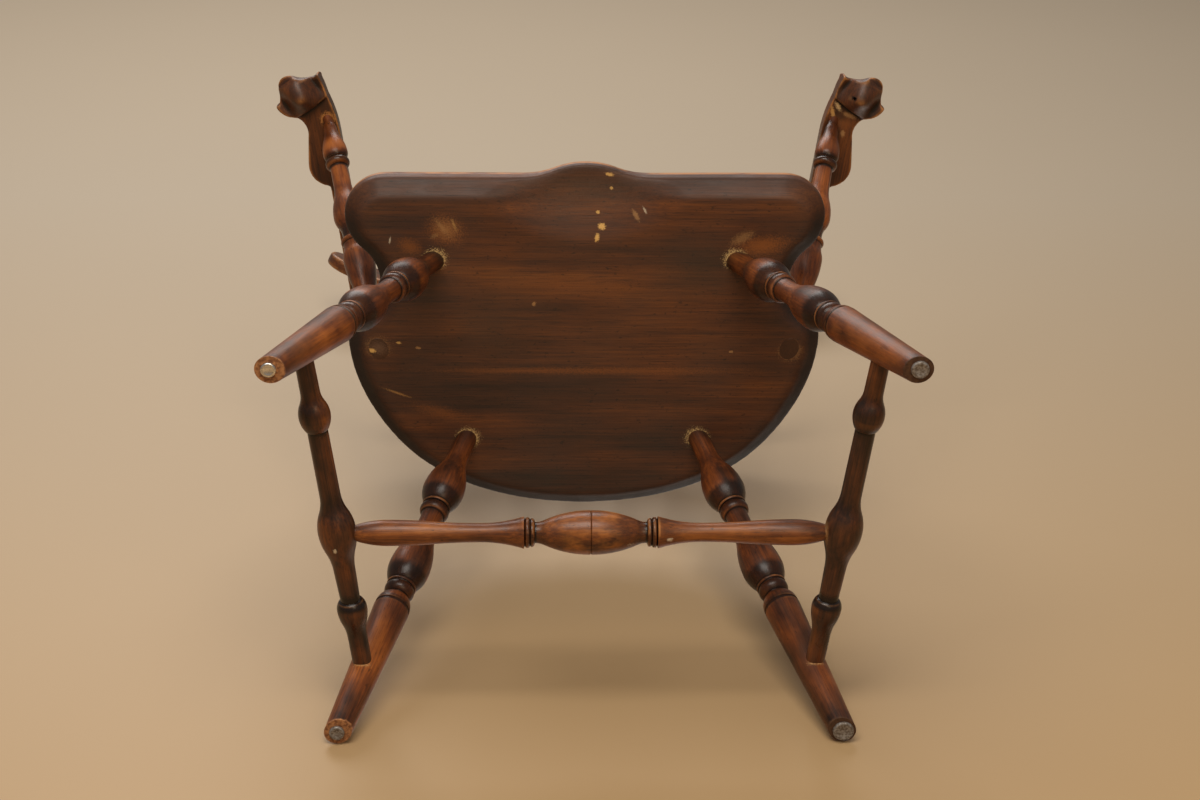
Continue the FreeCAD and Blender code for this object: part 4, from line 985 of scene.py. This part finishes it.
# %% [markdown]
# The arm bow, the hands and the knuckles are carved from one form here and then parted along the glue lines,
# so that the carving runs across the joints as it does on the chair. The hand widens outside the bow to a leaf,
# narrows at a neck and ends in two thin ears. Between the ears a rolled lobe hangs below the arm: it is a block
# with the hand's outline whose lower side is pressed up wherever the carver cut deeper.

# %% Arms and hands
HAND = [
    ((11, -79), None), ((31.5, -50), (25, -71)), ((25, -13), (28.5, -32)), ((34.5, 8), (27.5, 0)),
    ((55.5, 24), (46.5, 12.5)), ((46, 38), (47.3, 31)), ((29, 53), (41, 50)), ((16, 49.5), (22.5, 50.5)),
    ((3, 57.5), (8.5, 51)), ((-4, 29), (-1.5, 43)), ((-11, -20), (-9.3, 6)),
]


ARC_STEPS = 8


def three_point_arc(start, via, end, steps=ARC_STEPS):
    """Points of the arc through three points, after the first."""
    (ax, ay), (bx, by), (cx, cy) = start, via, end
    a_far, b_far, c_far = ax * ax + ay * ay, bx * bx + by * by, cx * cx + cy * cy
    double = 2 * (ax * (by - cy) + bx * (cy - ay) + cx * (ay - by))
    ux = (a_far * (by - cy) + b_far * (cy - ay) + c_far * (ay - by)) / double
    uy = (a_far * (cx - bx) + b_far * (ax - cx) + c_far * (bx - ax)) / double
    radius = math.hypot(ax - ux, ay - uy)
    first, middle, last = (math.atan2(y - uy, x - ux) for x, y in (start, via, end))
    turn_on = (last - first) % math.tau
    if (middle - first) % math.tau > turn_on:
        turn_on -= math.tau
    angles = [first + turn_on * k / steps for k in range(1, steps + 1)]
    return [(ux + radius * math.cos(angle), uy + radius * math.sin(angle)) for angle in angles]


def hand_outline():
    """The right hand's outline, out from the bow's middle and forward of the post."""
    points = [HAND[0][0]]
    for spot, via in HAND[1:]:
        points += three_point_arc(points[-1], via, spot)
    return points


def from_hand(sign, out, fwd):
    """A point of a hand, out from the bow's middle and forward of the post, as x and y of the drawing."""
    x = POST_X + out * math.cos(SLANT) + fwd * math.sin(SLANT)
    return sign * x, out * math.sin(SLANT) - fwd * math.cos(SLANT) + POST_Y


def bow_edge(offset, forward):
    """The bow's edge at an offset from its middle line, from the back to a line across the hand."""
    points = []
    for (x0, y0, _), (x1, y1, _) in zip(BOW[::2], BOW[1::2]):
        length = math.hypot(x1 - x0, y1 - y0)
        x, y = x0 - (y1 - y0) / length * offset, y0 + (x1 - x0) / length * offset
        if (x - POST_X) * math.sin(SLANT) - (y - POST_Y) * math.cos(SLANT) < forward - 3:
            points.append((x, y))
    return points


BOW_HALF = 11
outer, inner = bow_edge(BOW_HALF, -79), bow_edge(-BOW_HALF, -20)
hand = [from_hand(1, *spot) for spot in hand_outline()]
right_half = outer[1:] + hand + inner[:0:-1]
left_half = [(-x, y) for x, y in reversed(right_half)]
outline = right_half + [(0, inner[0][1])] + left_half + [(0, outer[0][1])]
arms = loop_solid("arms", outline, ARM_HIGH, ARM_HIGH - ARM_LOW)
bpy.ops.object.mode_set(mode="OBJECT")
print("the arms' outline has", len(outline), "points")


# %% Knuckle blocks
def eased(value, low, high):
    """From 0 to 1 between two limits, slow at both ends."""
    share = min(1.0, max(0.0, (value - low) / (high - low)))
    return share * share * (3 - 2 * share)


LOBE_OUT, LOBE_FORWARD = 0.513, 0.859


def lobe_place(out, fwd):
    """A spot of the hand in the measure of the lobe, which points outward: across from its middle, and ahead."""
    return abs(LOBE_FORWARD * out - LOBE_OUT * fwd - 3.9), LOBE_OUT * out + LOBE_FORWARD * fwd - 22.7


def knuckle_depth(out, fwd):
    """How far the carved block hangs below the arm, in millimetres, at a spot of the hand."""
    across, ahead = lobe_place(out, fwd)
    nose = math.sqrt(max(0.0, 1 - max(0.0, (ahead - 12) / 24) ** 2))
    dome = (0.5 + 0.5 * math.cos(math.pi * min(1.0, across / 22))) ** 0.65
    lobe = eased(ahead, -13, 24) * nose * dome
    return 1.5 + 20 * lobe + 1.5 * eased(across, 20, 29)


def hand_place(spot, sign):
    """Where a point lies in a hand's own measure: out from the bow's middle, and forward of the post."""
    x, y = spot.x / MM * sign - POST_X, (spot.y - DRAWING_BACK) / MM - POST_Y
    return x * math.cos(SLANT) + y * math.sin(SLANT), x * math.sin(SLANT) - y * math.cos(SLANT)


def joined(name, pieces):
    """Several pieces made into one."""
    only(pieces[0])
    for piece in pieces[1:]:
        piece.select_set(True)
    bpy.ops.object.join()
    pieces[0].name = pieces[0].data.name = name
    return pieces[0]


# %% Carving the hands
BLOCK_DEEP, BLOCK_LAP = 24, 8
points = hand_outline()
# The block runs from the hand's neck outside, round the front, to its inner heel
heel, inner_heel = 3 * ARC_STEPS, 9 * ARC_STEPS
blocks = []
for sign in (-1, 1):
    plan = [from_hand(sign, *spot) for spot in points[heel:inner_heel + 1]]
    block = loop_solid("knuckle_block", plan, ARM_LOW + BLOCK_LAP, BLOCK_DEEP + BLOCK_LAP)
    bpy.ops.object.mode_set(mode="OBJECT")
    modified(block, "REMESH", mode="VOXEL", voxel_size=1.0 * MM)
    for vertex in block.data.vertices:
        below = ARM_LOW - vertex.co.z / MM
        if below > 0:
            depth = knuckle_depth(*hand_place(vertex.co, sign))
            vertex.co.z = (ARM_LOW - below * depth / BLOCK_DEEP) * MM
    blocks.append(block)
joined("arms", [arms] + blocks)
modified(arms, "REMESH", mode="VOXEL", voxel_size=1.25 * MM)
# Flutes between lobe and ears are hollowed up into the arm, and the front is rounded over
for vertex in arms.data.vertices:
    sign = 1 if vertex.co.x > 0 else -1
    out, fwd = hand_place(vertex.co, sign)
    across, ahead = lobe_place(out, fwd)
    if ahead > -2:
        z = vertex.co.z / MM
        hollow = 3.5 * math.exp(-((across - 20) / 8) ** 2) * eased(ahead, -2, 24)
        vertex.co.z += hollow * (1 - eased(z, 652, 674)) * MM
        level = min(0.98, abs(z - 652) / 24)
        rolled = 0.2 * max(0.0, ahead - 5) - 1.2 * max(0.0, ahead - 6) * (1 - math.sqrt(1 - level ** 2))
        crisp = max(0.0, ahead - 17) * ((1 - level ** 3) ** (1 / 3) - 1)
        reach = rolled + (crisp - rolled) * eased(across, 19, 28)
        x, y = from_hand(sign, out + LOBE_OUT * reach, fwd + LOBE_FORWARD * reach)
        vertex.co.x, vertex.co.y = place(x, y, 0).xy
modified(arms, "SMOOTH", factor=0.5, iterations=9)
print("arms and knuckles", len(arms.data.polygons), "faces")

# %% [markdown]
# Carved pieces carry the same two measures as turned ones: how far a spot stands proud of what is round it, over a
# wide reach and a narrow one. Here they come from comparing the form with softened copies of itself.

# %% Relief of carved pieces
def store_relief(piece, wide, narrow):
    """Stores how far each vertex stands proud of its surroundings, in millimetres, after rounds of averaging."""
    spots = vertices_of(piece).astype(float)
    count = len(spots)
    ends = np.empty(len(piece.data.edges) * 2, "i")
    piece.data.edges.foreach_get("vertices", ends)
    first, second = ends.reshape(-1, 2).T
    neighbours = np.bincount(ends, minlength=count)[:, None]
    facing = np.empty(count * 3, "f")
    piece.data.vertices.foreach_get("normal", facing)
    facing = facing.reshape(-1, 3)
    soft = spots.copy()
    for turn_number in range(1, wide + 1):
        around = [np.bincount(first, soft[second, k], count) + np.bincount(second, soft[first, k], count)
                  for k in range(3)]
        soft = (soft + np.stack(around, 1) / neighbours) / 2
        if turn_number in (narrow, wide):
            proud = ((spots - soft) * facing).sum(1) / MM
            store(piece, "edge" if turn_number == narrow else "relief", "FLOAT", proud - np.median(proud))
            print(piece.name, turn_number, "rounds", np.round(np.percentile(proud, (2, 25, 50, 75, 98)), 2))


store_relief(arms, 60, 8)

# %% Parting the arms
def rod(name, low_end, radius, length):
    """An upright round bar."""
    bpy.ops.object.select_all(action="DESELECT")
    middle = low_end + Vector((0, 0, length / 2 * MM))
    bpy.ops.mesh.primitive_cylinder_add(vertices=20, radius=radius * MM, depth=length * MM, location=middle)
    bar = bpy.context.object
    bar.name = bar.data.name = name
    bpy.ops.object.transform_apply(location=True, rotation=True, scale=True)
    return bar


spots = vertices_of(arms)
bow_tree = nearest([(x, y) for x, y, _ in BOW] + [(-x, y) for x, y, _ in BOW])
grain = []
for x, y, z in spots:
    middle, index, away = bow_tree.find((x, y, 0))
    side = 1 if math.hypot(x, y - DRAWING_BACK) > math.hypot(middle.x, middle.y - DRAWING_BACK) else -1
    along = BOW[index % len(BOW)][2] * MM * (1 if index < len(BOW) else -1)
    grain.append((away * side, z, along + 5.0))
store(arms, "grain", "FLOAT_VECTOR", grain)


def arm_marks(tree, colour, dull):
    """Glue pressed out round the left post, and a bare patch with old glue behind the right knuckle."""
    spots_of_wear = [
        (-1, (0, 2.5), (9.4, 9), 0, (0.42, 0.17, 0.045), 0.75, 0.3),
        (1, (10, 3), (16, 12), 0, ORANGE, 0.5, 0.8), (1, (9, 8), (12, 9), 20, (0.02, 0.009, 0.005), 0.7, 0.9),
        (1, (-2.4, 11), (2.6, 9), -10, (0.5, 0.26, 0.08), 0.8, 0.4),
        (1, (2, 19.5), (3, 7.5), -30, (0.52, 0.33, 0.15), 0.85, 0.6),
        (1, (17, 10.5), (10, 3.2), 24, TAN, 0.75, 0.5), (1, (13.6, -12), (3, 4.5), 0, TAN, 0.75, 0.4),
    ]
    rows = [((*from_hand(sign, *spot), ARM_LOW), (*sizes, 7), *rest) for sign, spot, sizes, *rest in spots_of_wear]
    return laid_marks(tree, colour, rows), dull


arm_finish = stained_wood("stained_arm", -0.01, arm_marks, 0.4, (0.3, 18, 0.55))
NAIL = (16.5, 36)
nail_low = ARM_LOW - knuckle_depth(*NAIL)


def knuckle_marks(tree, colour, dull):
    """The nail hole in the right knuckle is black inside, with a pale bruise beside it."""
    hole = (*from_hand(1, *NAIL), 645)
    bruise = (*from_hand(1, NAIL[0] - 3, NAIL[1] - 2), 646)
    rows = [(bruise, (4.5, 3.5, 6), 30, TAN, 0.25, 0.8),
            (hole, (2.9, 2.9, 9), 0, (0.003, 0.002, 0.0015), 0.97, 0.1)]
    return laid_marks(tree, colour, rows), dull


knuckle_finish = stained_wood("stained_knuckle", -0.015, knuckle_marks, 0.42, (0.3, 18, 0.3), 0.22)
# Both glue faces are set a little off the CAD faces, so that the seam shows
GLUE_LEVEL = place(0, 0, ARM_LOW - 0.3)
BLOCK_SEAM = BOW_HALF + 0.6
for side, sign in (("left", -1), ("right", 1)):
    knuckle = twin(arms, "carved_knuckle_" + side)
    altered(knuckle, "relief", lambda values: values * 0.4)
    trimmed(knuckle, GLUE_LEVEL, (0, 0, 1))
    trimmed(knuckle, (0, 0, 0), (-sign, 0, 0))
    if sign > 0:
        hole = rod("nail_hole", place(*from_hand(1, *NAIL), nail_low - 3), 1.6, 9)
        modified(knuckle, "BOOLEAN", operation="DIFFERENCE", solver="EXACT", object=hole)
        bpy.data.objects.remove(hole)
    finished(knuckle, knuckle_finish, "knuckle_wood", "knuckle_" + side, angle=60)
trimmed(arms, GLUE_LEVEL, (0, 0, -1))
for name, sign in (("hand_block_left", -1), ("hand_block_right", 1), ("arm_bow", 0)):
    piece = twin(arms, "carved_" + name)
    for side in ((sign,) if sign else (-1, 1)):
        spot = place(*from_hand(side, BLOCK_SEAM, 0), ARM_MIDDLE)
        out = Vector((side * math.cos(SLANT), math.sin(SLANT), 0))
        trimmed(piece, spot, -out if sign else out)
    finished(piece, arm_finish, "arm_wood", name, angle=60)
bpy.data.objects.remove(arms)

# %% [markdown]
# The comb is a bent rail with a raised middle and a rounded ear at either end. It is sawn flat, remeshed, and then
# each of its points is moved to the bend and the backward lean.

# %% Comb
COMB_SHIFT = 5
edge = ogee((236, 0), (311, 25), 0)
edge += arc_into((311, 25), (332, 51), 1, 8) + arc_into((332, 51), (311, 72), 0, 8)
edge += ogee((311, 72), (196, 54), 0, 10) + ogee((196, 54), (0, 80), 0, 12)
outline = with_mirror([(0, 0), (120, 0), (236, 0)] + edge)
comb = start_point("bent_comb")
trail([Vector((x, 0, z)) * MM for x, z in outline])
bpy.ops.mesh.select_all(action="SELECT")
bpy.ops.mesh.edge_face_add()
bpy.ops.transform.translate(value=(0, -4.5 * MM, 0))
bpy.ops.mesh.extrude_region_move(TRANSFORM_OT_translate={"value": (0, 9 * MM, 0)})
bpy.ops.mesh.select_all(action="SELECT")
bpy.ops.mesh.normals_make_consistent(inside=False)
for way in (-1, 1):
    rounded_rim(comb, 1, way, 4)
bpy.ops.object.mode_set(mode="OBJECT")
modified(comb, "REMESH", mode="VOXEL", voxel_size=1.8 * MM)
modified(comb, "SMOOTH", factor=0.5, iterations=5)
spots = vertices_of(comb)
store(comb, "grain", "FLOAT_VECTOR", np.stack([spots[:, 1], spots[:, 2], spots[:, 0]], 1) + 8.4)
store_relief(comb, 30, 5)
for vertex in comb.data.vertices:
    along = COMB_BEND * math.asin(vertex.co.x / MM / COMB_BEND)
    vertex.co = place(*comb_spot(along + COMB_SHIFT, vertex.co.z / MM, vertex.co.y / MM))
comb_finish = stained_wood("stained_comb", 0.02, mottle=(0.18, 14, 0.5))
finished(comb, comb_finish, "comb_wood", "comb", angle=60)

# %% [markdown]
# Small parts. The comb's pins keep their CAD shapes and get a finish. The wedges are modelled again, because the
# tenons stand a hair proud here and would hide them: each is a slip of wood a little higher than the tenon that
# it spreads. The brads sit in the carved knuckles, so they start where the carving does. A floor glide is a
# round steel cap with a turned-over rim, nailed up into the foot.

# %% Small parts
def plain_wood(name, dark, light):
    """A small piece of wood with fine upright fibres."""
    finish, tree = new_finish(name)
    fibre = spread(tree, own_place(tree), 0.1, 700, 4)
    shaded(tree, tinted(tree, fibre, dark, light), 0.55, (fibre, 0.3, 0.0004), {})
    return finish


def worn_metal(name, dark, light, roughness):
    """Old iron, darker and duller in spots."""
    finish, tree = new_finish(name)
    wear = noise(tree, own_place(tree), 420, 5)
    colour = tinted(tree, ranged(tree, wear, 0.35, 0.65), dark, light)
    dull = ranged(tree, wear, 0.3, 0.7, roughness + 0.2, roughness)
    shaded(tree, colour, dull, (wear, 0.3, 0.0004), {"Metallic": 1.0})
    return finish


def glide_finish(name):
    """Pressed steel, dull with dirt on three feet and rubbed bright on the front left one."""
    finish, tree = new_finish(name)
    spot = own_place(tree)
    wear = noise(tree, spot, 420, 5)
    bright_foot = place(*LEG_SPOTS["leg_front_left"][1], 0)
    away = node(tree, "VectorMath", {0: spot, 1: bright_foot}, operation="DISTANCE").outputs["Value"]
    steel = added(tree, ranged(tree, away, 0.1, 0.05, 0.0, 0.75), ranged(tree, wear, 0.4, 0.62, 0.0, 0.3))
    colour = tinted(tree, steel, (0.12, 0.092, 0.07, 1), (0.72, 0.72, 0.72, 1))
    shaded(tree, colour, ranged(tree, steel, 0.0, 1.0, 0.6, 0.26), (wear, 0.25, 0.0003), {
        "Metallic": ranged(tree, steel, 0.0, 0.6, 0.4, 1.0)})
    return finish


def wedge_slip(end, upward, thick, wide, long=8):
    """A slip of wood in the end of a tenon, its top a quarter of a millimetre above it."""
    side = (Vector((0, 1, 0)) - upward * upward.y).normalized()
    bpy.ops.object.select_all(action="DESELECT")
    bpy.ops.mesh.primitive_cube_add(size=1)
    slip = bpy.context.object
    facing = Matrix((side.cross(upward), side, upward)).transposed().to_4x4()
    sizes = Matrix.Diagonal((thick * MM, wide * MM, long * MM, 1))
    slip.matrix_world = Matrix.Translation(end - upward * (long / 2 - 0.25) * MM) @ facing @ sizes
    bpy.ops.object.transform_apply(location=True, rotation=True, scale=True)
    return slip


def glide(spot, radius):
    """A steel cap under a foot: a disc whose lower face is set in twice, for a rounded rim and a shallow dish."""
    cap = rod("glide", spot, radius, 3.2)
    bpy.ops.object.mode_set(mode="EDIT")
    pick_faces(cap, 2, -1)
    bpy.ops.transform.translate(value=(0, 0, 1.2 * MM))
    for inward, outward in ((0.3, 0.7), (0.7, 0.5), (1.6, 0), (0.6, -0.35)):
        bpy.ops.mesh.inset(thickness=inward * MM, depth=outward * MM)
    bpy.ops.object.mode_set(mode="OBJECT")
    return cap


GLIDE_RADII = (7.4, 8.6, 7.6, 10.4)
caps = [glide(place(*foot, 0), radius) for (_, foot), radius in zip(LEG_SPOTS.values(), GLIDE_RADII)]
glides = joined("steel_glides", caps)
finished(glides, glide_finish("glide_steel"), "glide_metal", "foot_glides")
slip_finish = plain_wood("wedge_slip", (0.05, 0.02, 0.009, 1), (0.22, 0.095, 0.036, 1))
leg_slips = joined("leg_wedge_slips", [wedge_slip(end, upward, 2.6, 21) for end, upward in leg_ends])
finished(leg_slips, slip_finish, "wedge_wood", "leg_wedges")
post_slips = joined("post_wedge_slips", [wedge_slip(end, Vector((0, 0, 1)), 10.8, 2.6) for end in post_ends])
finished(post_slips, slip_finish, "wedge_wood", "arm_post_wedges")
brad_finish = worn_metal("brad_metal", (0.02, 0.016, 0.014, 1), (0.07, 0.06, 0.055, 1), 0.6)
BRAD_RADIUS, BRAD_LONG, BRAD_SUNK = 1, 18, 5.6
brad_spots = [place(*from_hand(sign, *NAIL), nail_low + BRAD_SUNK) for sign in (-1, 1)]
brads = joined("cut_brads", [rod("brad", spot, BRAD_RADIUS, BRAD_LONG) for spot in brad_spots])
finished(brads, brad_finish, "brad_metal", "knuckle_brads")
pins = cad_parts["comb_pins"]
pins.data.materials.clear()
pins.data.materials.append(plain_wood("pin_wood", (0.05, 0.018, 0.009, 1), (0.16, 0.06, 0.024, 1)))
print("finished the comb's pins")
